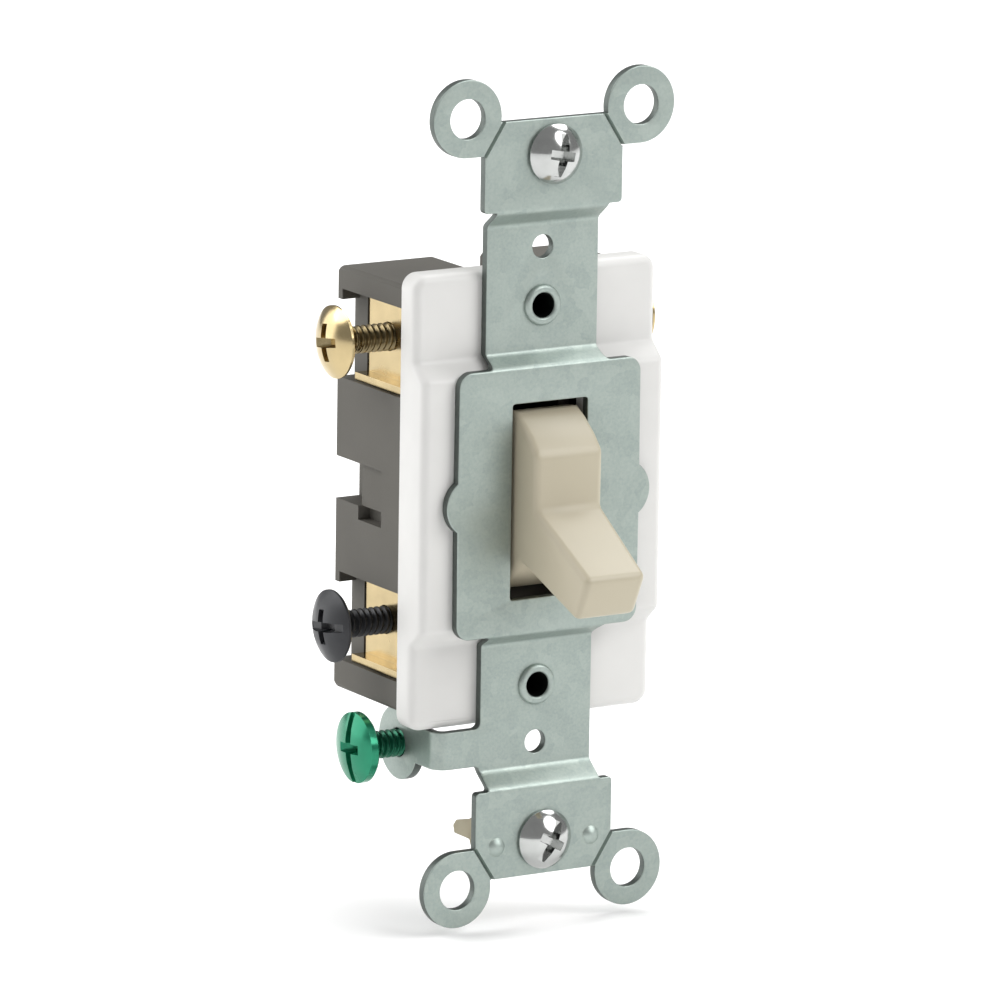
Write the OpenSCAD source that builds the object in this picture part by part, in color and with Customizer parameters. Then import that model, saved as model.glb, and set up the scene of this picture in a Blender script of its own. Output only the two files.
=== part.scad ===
// Toggle wall switch, three-way, for a single switch box.
// Axes: X to the right seen from the front, Y back into the box, Z up along the mounting strap.
// Origin: midway between the two box screws, on the rear face of the strap's ears.
// Pressed steel strap, front frame, rear body, lever on trunnions, rocker with spring, terminals and screws.
// All sizes are millimetres.

/* [Strap] */
// Thickness of the steel sheet
strap_t = 1.2; // [0.9:0.1:1.3]
// How far the plate-screw sections sit behind the ears and the platform
joggle = 2.3; // [2.1:0.1:2.4]
// Width of the ear sections
ear_section_w = 19; // [18:0.5:20]
// Width of the narrow sections
narrow_w = 15.4; // [14.4:0.2:16]
// Width of the platform round the lever
platform_w = 25.1; // [24.1:0.5:26.1]
// Distance between the two box screws
box_pitch = 83.34; // [83.34]
// Distance between the two wall-plate screws
plate_pitch = 60.33; // [60.33]
// Radius of the tapped wall-plate screw holes
plate_hole_r = 1.42; // [1.42]
// Radius of the round ears
ear_r = 4.65; // [4.4:0.05:4.8]
// Radius of the hole in each ear
ear_hole_r = 2.4; // [2.2:0.1:2.6]

/* [Housing] */
// Width of the front frame
frame_w = 33.5; // [33:0.1:34]
// Height of the front frame
frame_h = 55.2; // [54.8:0.2:56]
// Width of the rear body
body_w = 32.2; // [31.8:0.1:32.8]
// Height of the rear body
body_h = 51.8; // [51.4:0.2:52.4]
// Distance from the ears' rear face to the rear of the body
body_depth = 21.5; // [21.5:0.1:23]

/* [Lever] */
// Width of the lever where it leaves the strap
lever_w = 9.4; // [9:0.1:9.6]
// Width of the lever at its tip
lever_tip_w = 8.2; // [7.4:0.1:8.6]
// Distance from the pivot to the lever's tip
lever_reach = 21.4; // [19.4:0.2:22.4]
// Angle of the lever below straight out, in its stored pose
lever_rest = 25.7; // [25.7]

/* [Screws] */
// Radius of a number six screw shank
shank_r = 1.7; // [1.65:0.01:1.72]
// Diameter of the terminal screw heads
terminal_head_d = 8.8; // [8:0.1:9]
// Diameter of the box screw heads
box_head_d = 7.2; // [6.8:0.1:7.6]
// Length of a box screw under its head
box_screw_len = 13.5; // [11:0.5:16]

/* [Hidden] */
$fn = 96;

eps = 0.01;
run = 0.05;                          // clearance between a screw shank and its hole
hole_r = shank_r + run;

// strap stations along Y
ear_front = -strap_t;
recess_front = joggle - strap_t;
recess_rear = joggle;

// strap stations along Z
ear_top = 45.95;
ear_bend = 34.6;                     // where the ear section starts to joggle back
notch_rise = 0.5;                    // height of the relief cut beside each bend
recess_end = 33.6;
platform_end = 16.2;                 // half height of the platform
recess_start = 18.1;
score_side = 42;                     // where the scored line meets the side edge
score_top_x = 6.97;
score_w = 0.45;
score_deep = 0.35;
score_short = 0.15;                  // how far each scored line stops short of the edge
ear_x = 11.96;
ear_z = 46.65;
platform_round = 1.8;
window_x = 5.2;
window_z = 11.9;
bulge_reach = 14.1;
bulge_r = 3.7;
eyelet_z = 23.1;
slot_half_w = 1.2;                   // half the extra length of the oblong screw slot
slot_r = 2.1;
stake_x = 6.6;
stake_z = -42;
stake_r = 0.7;
stake_head_r = 1.15;
stake_dome = 0.5;
stake_fit = 0.02;

// ground tab on the lower left of the strap
tab_top = -27.8;
tab_bottom = -32.4;
tab_x = -13.8;
ground_y = 10.2;
ground_z = -30.7;
ground_pad_r = 4.5;

// eyelets and fibre retainers
eyelet_r = 1.9;
eyelet_bore_r = 1.5;
eyelet_bore_end = 6.5;               // the rivets are hollow only at the front
eyelet_hole_r = eyelet_r + run;
eyelet_lip_r = 2.5;
eyelet_flare_r = 2.6;
eyelet_lip_t = 0.5;
retainer_w = 8;
retainer_t = 0.8;
retainer_round = 1;

// grounding clip behind the lower ears
clip_t = 0.5;
clip_left = -9.4;
clip_right = 8.6;
clip_top = -38.4;
clip_bottom = -44;
clip_chamfer = 2.6;
wing_bottom = -41;
wing_reach = 4.3;                    // how far the bent side reaches back

// housing stations along Y
frame_rear = 5.8;
frame_mid_front = 0.02;
frame_pad_front = recess_rear;
frame_wall = 1.8;                    // rear face of the frame's front wall round the lever
frame_corner = 1.6;
frame_gap_x = 0.2;                   // how much wider the frame's opening is than the strap's, each side
frame_gap_z = 0.7;
frame_cavity_z = 14.4;
strap_gap = 0.05;                    // gap between the frame and the strap's slopes
seat_out = 7.6;                      // outer side of each trunnion cradle
seat_half = 4.6;
body_front = frame_rear;
rear_wall_in = 19.15;
flange_rear = 8.5;
cavity_x = 12.2;
cavity_z = 12;
rib_in = 5.4;
rib_out = 6.9;
rib_rear = 17.9;
channel_x = 3.6;
channel_z = 20.3;
body_corner = 0.5;

// notch, shallow panel and slot in each side of the body
notch_half = 2.6;
notch_front = 16.2;
notch_deep = 3.2;
panel_front = 10.8;
panel_deep = 0.5;
slot_drop = 1.7;                     // height of the slot under the panel
slot_deep = 1.6;

// terminals
plate_t = 1;
plate_x = 13.6;
plate_y0 = 6.2;
plate_y1 = 18.4;
terminal_y = 13.8;
terminal_z = 17.3;
terminal_rise = 0.4;                 // the wiring pockets sit a little above the middle of the body
screw_rise = 0.55;                   // and the screws a little above the middle of their pockets
pocket_half = 5.4;
pocket_x = 13.75;
pocket_lip = 1;                      // thickness of the lip at the rear of a pocket
pocket_lip_h = 1.3;
screw_bore_r = 2.1;
bore_in = 4;                         // inner end of the bore that a terminal screw turns into
plate_gap = 0.1;                     // gap over and under a clamp plate
plate_lip = 1.9;
plate_lip_t = 0.9;
arm_y0 = 18.35;
arm_y1 = rear_wall_in;
arm_in = 9.2;
arm_out = 12;
arm_knee = 11.2;
arm_lap = 1.9;                       // how far an arm overlaps its clamp plate
arm_half = 1.8;
screw_seat = 7;                      // how far a terminal screw is backed out from its plate

// lever and rocker
pivot_y = 3.7;
trunnion_r = 1.8;
trunnion_x = 7.3;
taper_from = 8;                      // where the lever starts to taper toward its tip
post_cup = 2.95;                     // lever pivot to the mouth of the cup that takes the rocker's post
post_cup_end = 2.4;
post_play = 0.17;
rocker_y = 16;
rocker_tilt = 7;
post_r = 0.8;
post_tip = 9.67;                     // rocker pivot to the centre of the post's rounded tip
rocker_front = 1.3;
rocker_t = 0.8;
rocker_w = 6.4;
edge_r = 0.5;                        // round knife edge that the rocker tips on
edge_half = 2.6;
edge_fit = 0.05;
cradle_front = 16.1;
cradle_half = 1.3;
contact_z = 8.6;
contact_pad_r = 2.2;
contact_r = 1.5;
contact_dome_r = 3;
contact_front = 0.5;
rivet_r = 0.78;
rivet_fit = 0.02;
contact_seat_z = 8.8;
contact_seat_r = 1.7;
contact_seat_face = 17.6;
cam_face = 3.9;                      // lever pivot to either sloping cam face
cam_angle = lever_rest + rocker_tilt;
wire_r = 0.3;
coil_r = 1.75;
coils = 12;

// screws
tip_chamfer = 0.4;
drive_w = 1;
drive_deep = 0.55;
neck_r = 1.5;                        // plain neck of a box screw, through the strap and the retainer
neck_len = 2.7;
terminal_rim = 0.5;
terminal_dome = 1.5;
terminal_len = 9;
ground_head_d = 8.6;
ground_rim = 1.2;
ground_dome = 0.9;
ground_len = 7.2;
ground_seat = 4.8;                   // how far the ground screw is backed out from its tab
box_rim = 0.4;
box_dome = 1.9;

// colours for the plain view
zinc = [0.69, 0.73, 0.70];
white = [0.93, 0.93, 0.91];
grey = [0.42, 0.41, 0.39];
almond = [0.80, 0.75, 0.65];
brass = [0.82, 0.66, 0.35];
black = [0.10, 0.10, 0.11];
green = [0.10, 0.55, 0.35];
silver = [0.85, 0.85, 0.83];
fibre = [0.55, 0.42, 0.30];

// ---- helpers ----

// height of the middle of an upper (sz 1) or lower (sz -1) wiring pocket
function term_z(sz) = sz * terminal_z + terminal_rise;

// height of the terminal screw in that pocket
function screw_z(sz) = term_z(sz) + screw_rise;

// how far from the middle of the body an arm reaches into its pocket
function arm_root(sz) = abs(term_z(sz)) - pocket_half + arm_lap;

// a flat outline in X and Z, thick from y0 to y1
module slab(y0, y1) {
    translate([0, y1, 0])
        rotate([90, 0, 0])
            linear_extrude(y1 - y0)
                children();
}

// a side outline in Y and Z, w wide and centred on X
module side(w) {
    rotate([90, 0, 90])
        linear_extrude(w, center = true)
            children();
}

// a box from its lowest to its highest corner
module block(a, b) {
    translate(a)
        cube([b[0] - a[0], b[1] - a[1], b[2] - a[2]]);
}

// a cylinder along Y from y0 to y1
module rod_y(r, y0, y1, x = 0, z = 0) {
    translate([x, y1, z])
        rotate([90, 0, 0])
            cylinder(r = r, h = y1 - y0);
}

// a cylinder along X from x0 to x1
module rod_x(r, x0, x1, y = 0, z = 0) {
    translate([x0, y, z])
        rotate([0, 90, 0])
            cylinder(r = r, h = x1 - x0);
}

// a rectangle with round corners
module round_rect(w, h, r) {
    square([w - 2 * r, h], center = true);
    square([w, h - 2 * r], center = true);
    for (sx = [-1, 1], sz = [-1, 1])
        translate([sx * (w / 2 - r), sz * (h / 2 - r)])
            circle(r);
}

// cross and slot cut for a combination drive, opening upward at height z
module drive_cut(z, slot_len, cross_len) {
    translate([0, 0, z]) {
        cube([slot_len, drive_w, 2 * drive_deep], center = true);
        cube([cross_len, drive_w, 5 * drive_deep], center = true);
        cube([drive_w, cross_len, 5 * drive_deep], center = true);
    }
}

// a number six screw along Z: underside of the head at 0, shank going down, after a plain neck if it has one
module screw(head_d, rim, dome, shank_len, neck = 0) {
    cap_r = (head_d * head_d / 4 + dome * dome) / (2 * dome);
    difference() {
        union() {
            cylinder(d = head_d, h = rim);
            intersection() {
                translate([0, 0, rim + dome - cap_r])
                    sphere(cap_r);
                translate([0, 0, rim - eps])
                    cylinder(d = head_d, h = dome + 1);
            }
        }
        drive_cut(rim + dome, head_d + 1, head_d / 2);
    }
    if (neck > 0)
        translate([0, 0, -neck - eps])
            cylinder(r = neck_r, h = neck + 2 * eps);
    translate([0, 0, tip_chamfer - shank_len])
        cylinder(r = shank_r, h = shank_len - tip_chamfer - neck + (neck > 0 ? 0 : eps));
    translate([0, 0, -shank_len])
        cylinder(r1 = shank_r - tip_chamfer, r2 = shank_r, h = tip_chamfer);
}

// outline of an oblong box-screw slot at height z
module oblong(z) {
    translate([0, z])
        square([2 * slot_half_w, 2 * slot_r], center = true);
    for (sx = [-1, 1])
        translate([sx * slot_half_w, z])
            circle(slot_r);
}

// ---- strap ----

module ear_outline() {
    for (sx = [-1, 1])
        scale([sx, 1]) {
            translate([ear_x, ear_z])
                circle(ear_r);
            polygon([[score_top_x, ear_top], [ear_x - ear_r, ear_z], [ear_x, ear_z],
                     [ear_x, ear_z - ear_r], [ear_section_w / 2, score_side]]);
        }
}

module ear_section_outline() {
    half = ear_section_w / 2;
    notch = half - narrow_w / 2;
    difference() {
        polygon([[-half, ear_bend], [half, ear_bend], [half, score_side], [score_top_x, ear_top],
                 [-score_top_x, ear_top], [-half, score_side]]);
        for (sx = [-1, 1])
            translate([sx * half, ear_bend])
                square([2 * notch, 2 * notch_rise], center = true);
        oblong(box_pitch / 2);
    }
}

module ear_end() {
    slab(ear_front, 0)
        difference() {
            union() {
                ear_outline();
                ear_section_outline();
            }
            for (sx = [-1, 1])
                translate([sx * ear_x, ear_z])
                    circle(ear_hole_r);
        }
}

// the scored break-off lines across the necks of the ears
module score_lines() {
    run_x = ear_section_w / 2 - score_top_x;
    run_z = ear_top - score_side;
    length = norm([run_x, run_z]);
    for (sx = [-1, 1])
        translate([sx * (score_top_x + run_x / 2), ear_front, (score_side + ear_top) / 2])
            rotate([0, sx * atan2(run_z, run_x), 0])
                cube([length - 2 * score_short, 2 * score_deep, score_w], center = true);
}

// one sloping step of the centre band, from the near level at z0 to the far level at z1
module step_band(y_a, z_a, y_b, z_b) {
    rise = y_b - y_a;
    fall = z_b - z_a;
    slope = norm([rise, fall]);
    back_y = strap_t * abs(fall) / slope;
    back_z = strap_t * rise / slope * (fall > 0 ? -1 : 1);
    k = fall / rise;
    zr_a = z_a + back_z + k * (strap_t - back_y);
    zr_b = z_b + back_z + k * (strap_t - back_y);
    side(narrow_w)
        polygon([[y_a, z_a], [y_b, z_b], [y_b + strap_t, zr_b], [y_a + strap_t, zr_a]]);
}

module platform() {
    slab(ear_front, 0) {
        difference() {
            union() {
                round_rect(platform_w, 2 * platform_end, platform_round);
                for (sx = [-1, 1])
                    translate([sx * (bulge_reach - bulge_r), 0])
                        circle(bulge_r);
            }
            square([2 * window_x, 2 * window_z], center = true);
        }
    }
}

module ground_tab() {
    block([tab_x + strap_t, recess_front, tab_bottom], [-narrow_w / 2 + 1, recess_rear, tab_top]);
    difference() {
        union() {
            block([tab_x, recess_front, tab_bottom], [tab_x + strap_t, ground_y, tab_top]);
            rod_x(ground_pad_r, tab_x, tab_x + strap_t, ground_y, ground_z);
        }
        rod_x(hole_r, tab_x - 1, tab_x + strap_t + 1, ground_y, ground_z);
    }
}

module mounting_strap() {
    color(zinc)
        difference() {
            union() {
                platform();
                ground_tab();
                for (m = [0, 1])
                    mirror([0, 0, m]) {
                        ear_end();
                        band_trimmed();
                    }
            }
            for (sz = [-1, 1]) {
                rod_y(plate_hole_r, recess_front - 1, recess_rear + 1, 0, sz * plate_pitch / 2);
                rod_y(eyelet_hole_r, recess_front - 1, recess_rear + 1, 0, sz * eyelet_z);
            }
            for (m = [0, 1])
                mirror([0, 0, m])
                    score_lines();
            for (sx = [-1, 1])
                rod_y(stake_r + stake_fit, ear_front - 1, 1, sx * stake_x, stake_z);
        }
}

// one recess of the centre band with its two slopes, whose own prisms finish the rear corners
module band_trimmed() {
    slope_in = norm([joggle, recess_start - platform_end]);
    slope_out = norm([joggle, ear_bend - recess_end]);
    step_band(ear_front, platform_end, recess_front, recess_start);
    step_band(ear_front, ear_bend, recess_front, recess_end);
    z_in = recess_start - strap_t * joggle / slope_in
           + (strap_t - strap_t * (recess_start - platform_end) / slope_in)
           * (recess_start - platform_end) / joggle;
    z_out = recess_end + strap_t * joggle / slope_out
            - (strap_t - strap_t * (ear_bend - recess_end) / slope_out) * (ear_bend - recess_end) / joggle;
    side(narrow_w)
        polygon([[recess_front, recess_start], [recess_rear, z_in], [recess_rear, z_out],
                 [recess_front, recess_end]]);
}

// ---- housing ----

// side profile of the frame: proud in the middle, set back at the two ends
module frame_profile() {
    k = (recess_start - platform_end) / joggle;
    slope = norm([joggle, recess_start - platform_end]);
    thin = strap_t - strap_t * (recess_start - platform_end) / slope;
    z_mid = platform_end - strap_t * joggle / slope + k * thin - strap_gap;
    z_pad = z_mid + (frame_pad_front - frame_mid_front) * k;
    top = frame_h / 2;
    polygon([[frame_rear, -top], [frame_pad_front, -top], [frame_pad_front, -z_pad],
             [frame_mid_front, -z_mid], [frame_mid_front, z_mid], [frame_pad_front, z_pad],
             [frame_pad_front, top], [frame_rear, top]]);
}

module front_frame() {
    color(white) {
        difference() {
            intersection() {
                side(frame_w)
                    frame_profile();
                slab(-1, frame_rear)
                    round_rect(frame_w, frame_h, frame_corner);
            }
            block([-window_x - frame_gap_x, -1, -window_z - frame_gap_z],
                  [window_x + frame_gap_x, frame_rear + 1, window_z + frame_gap_z]);
            block([-cavity_x, frame_wall, -frame_cavity_z], [cavity_x, frame_rear + 1, frame_cavity_z]);
            for (sz = [-1, 1])
                rod_y(eyelet_hole_r, -1, frame_rear + 1, 0, sz * eyelet_z);
        }
        for (sx = [-1, 1])
            trunnion_seat(sx);
    }
}

// open cradle for one trunnion, closed from behind by a rib of the rear body
module trunnion_seat(sx) {
    r = trunnion_r + run;
    far = seat_out + 1;
    difference() {
        block([sx > 0 ? rib_in : -seat_out, frame_wall - eps, -seat_half],
              [sx > 0 ? seat_out : -rib_in, frame_rear, seat_half]);
        rod_x(r, -far, far, pivot_y, 0);
        block([-far, pivot_y, -r], [far, frame_rear + 1, r]);
    }
}

module wiring_pocket(sx, sz) {
    z_mid = term_z(sz);
    x_out = body_w / 2 + 1;
    y_lip = body_depth - pocket_lip;
    slot_x = plate_x - plate_t - run;
    block([sx > 0 ? pocket_x : -x_out, body_front - 1, z_mid - pocket_half],
          [sx > 0 ? x_out : -pocket_x, y_lip, z_mid + pocket_half]);
    block([sx > 0 ? pocket_x : -x_out, y_lip - eps, z_mid - pocket_half],
          [sx > 0 ? x_out : -pocket_x, body_depth + 1, z_mid + pocket_half - pocket_lip_h]);
    block([sx > 0 ? slot_x : -pocket_x - eps, body_front - 1, z_mid - pocket_half],
          [sx > 0 ? pocket_x + eps : -slot_x, plate_y1 + plate_gap, z_mid + pocket_half]);
    rod_x(screw_bore_r, sx > 0 ? bore_in : -pocket_x, sx > 0 ? pocket_x : -bore_in, terminal_y, screw_z(sz));
}

// slot that carries a terminal's arm from its pocket into the cavity
module arm_slot(sx, sz) {
    z_in = cavity_z - 1;
    z_far = arm_root(sz) + run;
    x_in = arm_in - 4 * run;
    block([sx > 0 ? x_in : -plate_x - run, arm_y0 - run, sz > 0 ? z_in : -z_far],
          [sx > 0 ? plate_x + run : -x_in, arm_y1, sz > 0 ? z_far : -z_in]);
}

module rear_body() {
    color(grey)
        difference() {
            union() {
                difference() {
                    slab(body_front, body_depth)
                        round_rect(body_w, body_h, body_corner);
                    block([-cavity_x, body_front - 1, -cavity_z], [cavity_x, rear_wall_in, cavity_z]);
                }
                for (sx = [-1, 1])
                    block([sx > 0 ? rib_in : -rib_out, body_front, -cavity_z - eps],
                          [sx > 0 ? rib_out : -rib_in, rib_rear, cavity_z + eps]);
            }
            for (sx = [-1, 1])
                for (sz = [-1, 1]) {
                    wiring_pocket(sx, sz);
                    if (sx < 0 || sz > 0)
                        arm_slot(sx, sz);
                }
            for (sz = [-1, 1]) {
                block([-channel_x, flange_rear, sz > 0 ? channel_z : -body_h / 2 - 1],
                      [channel_x, body_depth + 1, sz > 0 ? body_h / 2 + 1 : -channel_z]);
                rod_y(eyelet_hole_r, body_front - 1, flange_rear + 1, 0, sz * eyelet_z);
            }
            for (sx = [-1, 1])
                side_notch(sx);
            bevel_cut();
        }
}

// notch through the rear edge of each side, a shallow panel in front of it and a slot under the panel
module side_notch(sx) {
    x_out = body_w / 2 + 1;
    x_notch = body_w / 2 - notch_deep;
    x_panel = body_w / 2 - panel_deep;
    x_slot = body_w / 2 - slot_deep;
    block([sx > 0 ? x_notch : -x_out, notch_front, -notch_half],
          [sx > 0 ? x_out : -x_notch, body_depth + 1, notch_half]);
    block([sx > 0 ? x_panel : -x_out, panel_front, -notch_half],
          [sx > 0 ? x_out : -x_panel, notch_front + eps, notch_half]);
    block([sx > 0 ? x_slot : -x_out, panel_front, -notch_half - slot_drop],
          [sx > 0 ? x_out : -x_slot, notch_front, -notch_half + eps]);
}

// small bevels along the body's top and bottom rear edges
module bevel_cut() {
    for (sz = [-1, 1])
        translate([0, body_depth, sz * body_h / 2])
            rotate([45, 0, 0])
                cube([body_w + 2, 1, 1], center = true);
}

// ---- lever ----

// side outline of the lever with the lever straight out: x forward from the pivot, y up
module lever_profile() {
    tip = [lever_reach, 3];
    root = [8.7, 3.8];
    shoulder = [5.8, 10];
    skirt = [[0.6, 11.4], [-1.5, 11.5], [-2.5, 10.6]];
    hollow = [0.6, 6.4];
    cam_corner = [-2, 4.1];
    cam_ridge = [-cam_face / cos(cam_angle), 0];
    upper = concat([tip, root, shoulder], skirt, [hollow, cam_corner]);
    lower = [for (i = [len(upper) - 1 : -1 : 0]) [upper[i][0], -upper[i][1]]];
    polygon(concat(upper, [cam_ridge], lower));
}

// front outline that tapers the lever's width toward its tip
module lever_taper() {
    rear = -6;
    polygon([[rear, -lever_w / 2], [taper_from, -lever_w / 2], [lever_reach + 1, -lever_tip_w / 2],
             [lever_reach + 1, lever_tip_w / 2], [taper_from, lever_w / 2], [rear, lever_w / 2]]);
}

module toggle() {
    color(almond)
        translate([0, pivot_y, 0])
            rotate([lever_rest, 0, 0])
                difference() {
                    union() {
                        intersection() {
                            rotate([90, 0, -90])
                                linear_extrude(lever_w + 2, center = true)
                                    lever_profile();
                            rotate([0, 0, -90])
                                linear_extrude(40, center = true)
                                    lever_taper();
                        }
                        rod_x(trunnion_r, -trunnion_x, trunnion_x);
                    }
                    post_slot();
                }
}

// flared slot in the cam that takes the rocker's post, in the lever's own pose
module post_slot() {
    cup_r = post_r + post_play;
    flare = cam_angle + 2.5;
    reach = 6;
    mouth = [post_cup - cup_r * sin(flare), cup_r * cos(flare)];
    far = [mouth[0] + reach * cos(flare), mouth[1] + reach * sin(flare)];
    rod_x(cup_r, -cup_r, cup_r, post_cup, 0);
    block([-cup_r, post_cup_end, -cup_r], [cup_r, post_cup, cup_r]);
    rod_x(cup_r, -cup_r, cup_r, post_cup_end, 0);
    side(2 * cup_r)
        polygon([[post_cup, 0], mouth, far, [far[0], -far[1]], [mouth[0], -mouth[1]]]);
}

// ---- rocker, spring and contacts ----

// everything on the rocker is drawn level and then tilted about its knife edge
module on_rocker() {
    translate([0, rocker_y, 0])
        rotate([-rocker_tilt, 0, 0])
            children();
}

module contact_rocker() {
    color(brass)
        on_rocker() {
            difference() {
                slab(-rocker_front, -rocker_front + rocker_t)
                    union() {
                        square([rocker_w, 2 * contact_z], center = true);
                        for (sz = [-1, 1])
                            translate([0, sz * contact_z])
                                circle(contact_pad_r);
                    }
                for (sz = [-1, 1])
                    rod_y(rivet_r + rivet_fit, -3, 1, 0, sz * contact_z);
            }
            block([-edge_half, -rocker_front + rocker_t - eps, -edge_r], [edge_half, 0, edge_r]);
            rod_x(edge_r, -edge_half, edge_half);
            rod_y(post_r, -post_tip, -rocker_front + eps);
            translate([0, -post_tip, 0])
                sphere(post_r);
        }
}

module moving_contact(sz) {
    color(silver)
        on_rocker() {
            translate([0, 0, sz * contact_z]) {
                rod_y(rivet_r, -rocker_front, -rocker_front + rocker_t + eps);
                intersection() {
                    translate([0, contact_front - contact_dome_r, 0])
                        sphere(contact_dome_r);
                    rod_y(contact_r, -rocker_front + rocker_t, 1);
                }
            }
        }
}

module upper_moving_contact() {
    moving_contact(1);
}

module lower_moving_contact() {
    moving_contact(-1);
}

// close-wound spring on the rocker's post, from the rocker plate to the lever's cam
module drive_spring() {
    first = rocker_front + wire_r + eps;
    last = (rocker_y - pivot_y) * cos(rocker_tilt) - cam_face - wire_r - 2 * eps;
    color(silver)
        on_rocker()
            for (i = [0 : coils - 1])
                translate([0, -first - (last - first) * i / (coils - 1), 0])
                    rotate([90, 0, 0])
                        rotate_extrude()
                            translate([coil_r, 0])
                                circle(wire_r, $fn = 24);
}

// ---- terminals ----

// one clamp plate in its pocket, with a lip along the pocket floor
module clamp_plate(sx, sz) {
    z_mid = term_z(sz);
    z_low = z_mid - pocket_half + plate_gap;
    difference() {
        union() {
            block([sx > 0 ? plate_x - plate_t : -plate_x, plate_y0, z_low],
                  [sx > 0 ? plate_x : -plate_x + plate_t, plate_y1, z_mid + pocket_half - plate_gap]);
            block([sx > 0 ? plate_x - plate_t : -plate_x - plate_lip, plate_y0, z_low],
                  [sx > 0 ? plate_x + plate_lip : -plate_x + plate_t, plate_y1, z_low + plate_lip_t]);
        }
        rod_x(hole_r, -plate_x - 1, plate_x + 1, terminal_y, screw_z(sz));
    }
}

// clamp plate with an arm along the rear wall, first up or down to z_cross and then across to x_end
module terminal(sx, sz, z_cross, half, x_end) {
    z_root = sz * arm_root(sz);
    z_inner = z_cross - sz * half;
    clamp_plate(sx, sz);
    block([sx > 0 ? arm_in : -plate_x, arm_y0, min(z_root, sz * arm_knee)],
          [sx > 0 ? plate_x : -arm_in, arm_y1, max(z_root, sz * arm_knee)]);
    block([sx > 0 ? arm_in : -arm_out, arm_y0, min(z_root, z_inner)],
          [sx > 0 ? arm_out : -arm_in, arm_y1, max(z_root, z_inner)]);
    block([min(sx * (arm_in + 0.1), x_end), arm_y0, z_cross - half],
          [max(sx * (arm_in + 0.1), x_end), arm_y1, z_cross + half]);
}

module left_traveller_terminal() {
    color(brass)
        terminal(-1, 1, contact_seat_z, arm_half, contact_seat_r + 0.3);
}

module right_traveller_terminal() {
    color(brass)
        terminal(1, 1, -contact_seat_z, arm_half, -contact_seat_r - 0.3);
}

// lower left clamp plate, arm up the rear wall and the cradle that the rocker tips on
module common_terminal() {
    color(brass) {
        terminal(-1, -1, 0, cradle_half + 0.2, edge_half);
        difference() {
            block([-edge_half, cradle_front, -cradle_half], [edge_half, arm_y0 + eps, cradle_half]);
            rod_x(edge_r + edge_fit, -edge_half - 1, edge_half + 1, rocker_y, 0);
        }
    }
}

module fixed_contact(sz) {
    color(silver)
        rod_y(contact_seat_r, contact_seat_face, arm_y0, 0, sz * contact_seat_z);
}

module upper_fixed_contact() {
    fixed_contact(1);
}

module lower_fixed_contact() {
    fixed_contact(-1);
}

// ---- screws ----

module terminal_screw(sx, sz) {
    translate([sx * (plate_x + screw_seat), terminal_y, screw_z(sz)])
        rotate([0, sx * 90, 0])
            screw(terminal_head_d, terminal_rim, terminal_dome, terminal_len);
}

module left_traveller_screw() {
    color(brass)
        terminal_screw(-1, 1);
}

module common_screw() {
    color(black)
        terminal_screw(-1, -1);
}

module right_traveller_screw() {
    color(brass)
        terminal_screw(1, 1);
}

module ground_screw() {
    color(green)
        translate([tab_x - ground_seat, ground_y, ground_z])
            rotate([0, -90, 0])
                screw(ground_head_d, ground_rim, ground_dome, ground_len);
}

module mounting_screw(sz) {
    color(silver)
        translate([0, ear_front, sz * box_pitch / 2])
            rotate([90, 0, 0])
                screw(box_head_d, box_rim, box_dome, box_screw_len, neck_len);
}

module top_mounting_screw() {
    mounting_screw(1);
}

module bottom_mounting_screw() {
    mounting_screw(-1);
}

module screw_retainer(sz, y0) {
    color(fibre)
        difference() {
            slab(y0, y0 + retainer_t)
                translate([0, sz * box_pitch / 2])
                    round_rect(retainer_w, retainer_w, retainer_round);
            rod_y(hole_r, y0 - 1, y0 + retainer_t + 1, 0, sz * box_pitch / 2);
        }
}

module top_screw_retainer() {
    screw_retainer(1, 0);
}

module bottom_screw_retainer() {
    screw_retainer(-1, clip_t);
}

// ---- eyelets and grounding clip ----

module eyelet(sz) {
    color(silver)
        translate([0, 0, sz * eyelet_z])
            difference() {
                union() {
                    rod_y(eyelet_r, recess_front - eps, flange_rear + eps);
                    rod_y(eyelet_lip_r, recess_front - eyelet_lip_t, recess_front);
                    rod_y(eyelet_flare_r, flange_rear, flange_rear + eyelet_lip_t);
                }
                rod_y(eyelet_bore_r, -2, eyelet_bore_end);
            }
}

module upper_eyelet() {
    eyelet(1);
}

module lower_eyelet() {
    eyelet(-1);
}

// spring plate behind the lower ears, with one side bent back
module grounding_clip() {
    color(brass)
        difference() {
            union() {
                slab(0, clip_t)
                    polygon([[clip_left, clip_top], [clip_right - clip_chamfer, clip_top],
                             [clip_right, clip_top - clip_chamfer], [clip_right, clip_bottom],
                             [-clip_right, clip_bottom], [clip_left, wing_bottom]]);
                side_wing();
            }
            slab(-1, 1)
                oblong(-box_pitch / 2);
            for (sx = [-1, 1])
                rod_y(stake_r + stake_fit, -1, 1, sx * stake_x, stake_z);
        }
}

module side_wing() {
    translate([clip_left + clip_t / 2, 0, 0])
        side(clip_t)
            polygon([[0, clip_top], [wing_reach - 0.7, clip_top - 0.9], [wing_reach, clip_top - 1.7],
                     [wing_reach - 0.3, wing_bottom], [0, wing_bottom]]);
}

module clip_stakes() {
    cap_r = (stake_head_r * stake_head_r + stake_dome * stake_dome) / (2 * stake_dome);
    color(zinc)
        for (sx = [-1, 1])
            translate([sx * stake_x, 0, stake_z]) {
                rod_y(stake_r, ear_front - eps, clip_t);
                intersection() {
                    translate([0, ear_front - stake_dome + cap_r, 0])
                        sphere(cap_r);
                    rod_y(stake_head_r, ear_front - 1, ear_front);
                }
            }
}

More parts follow.
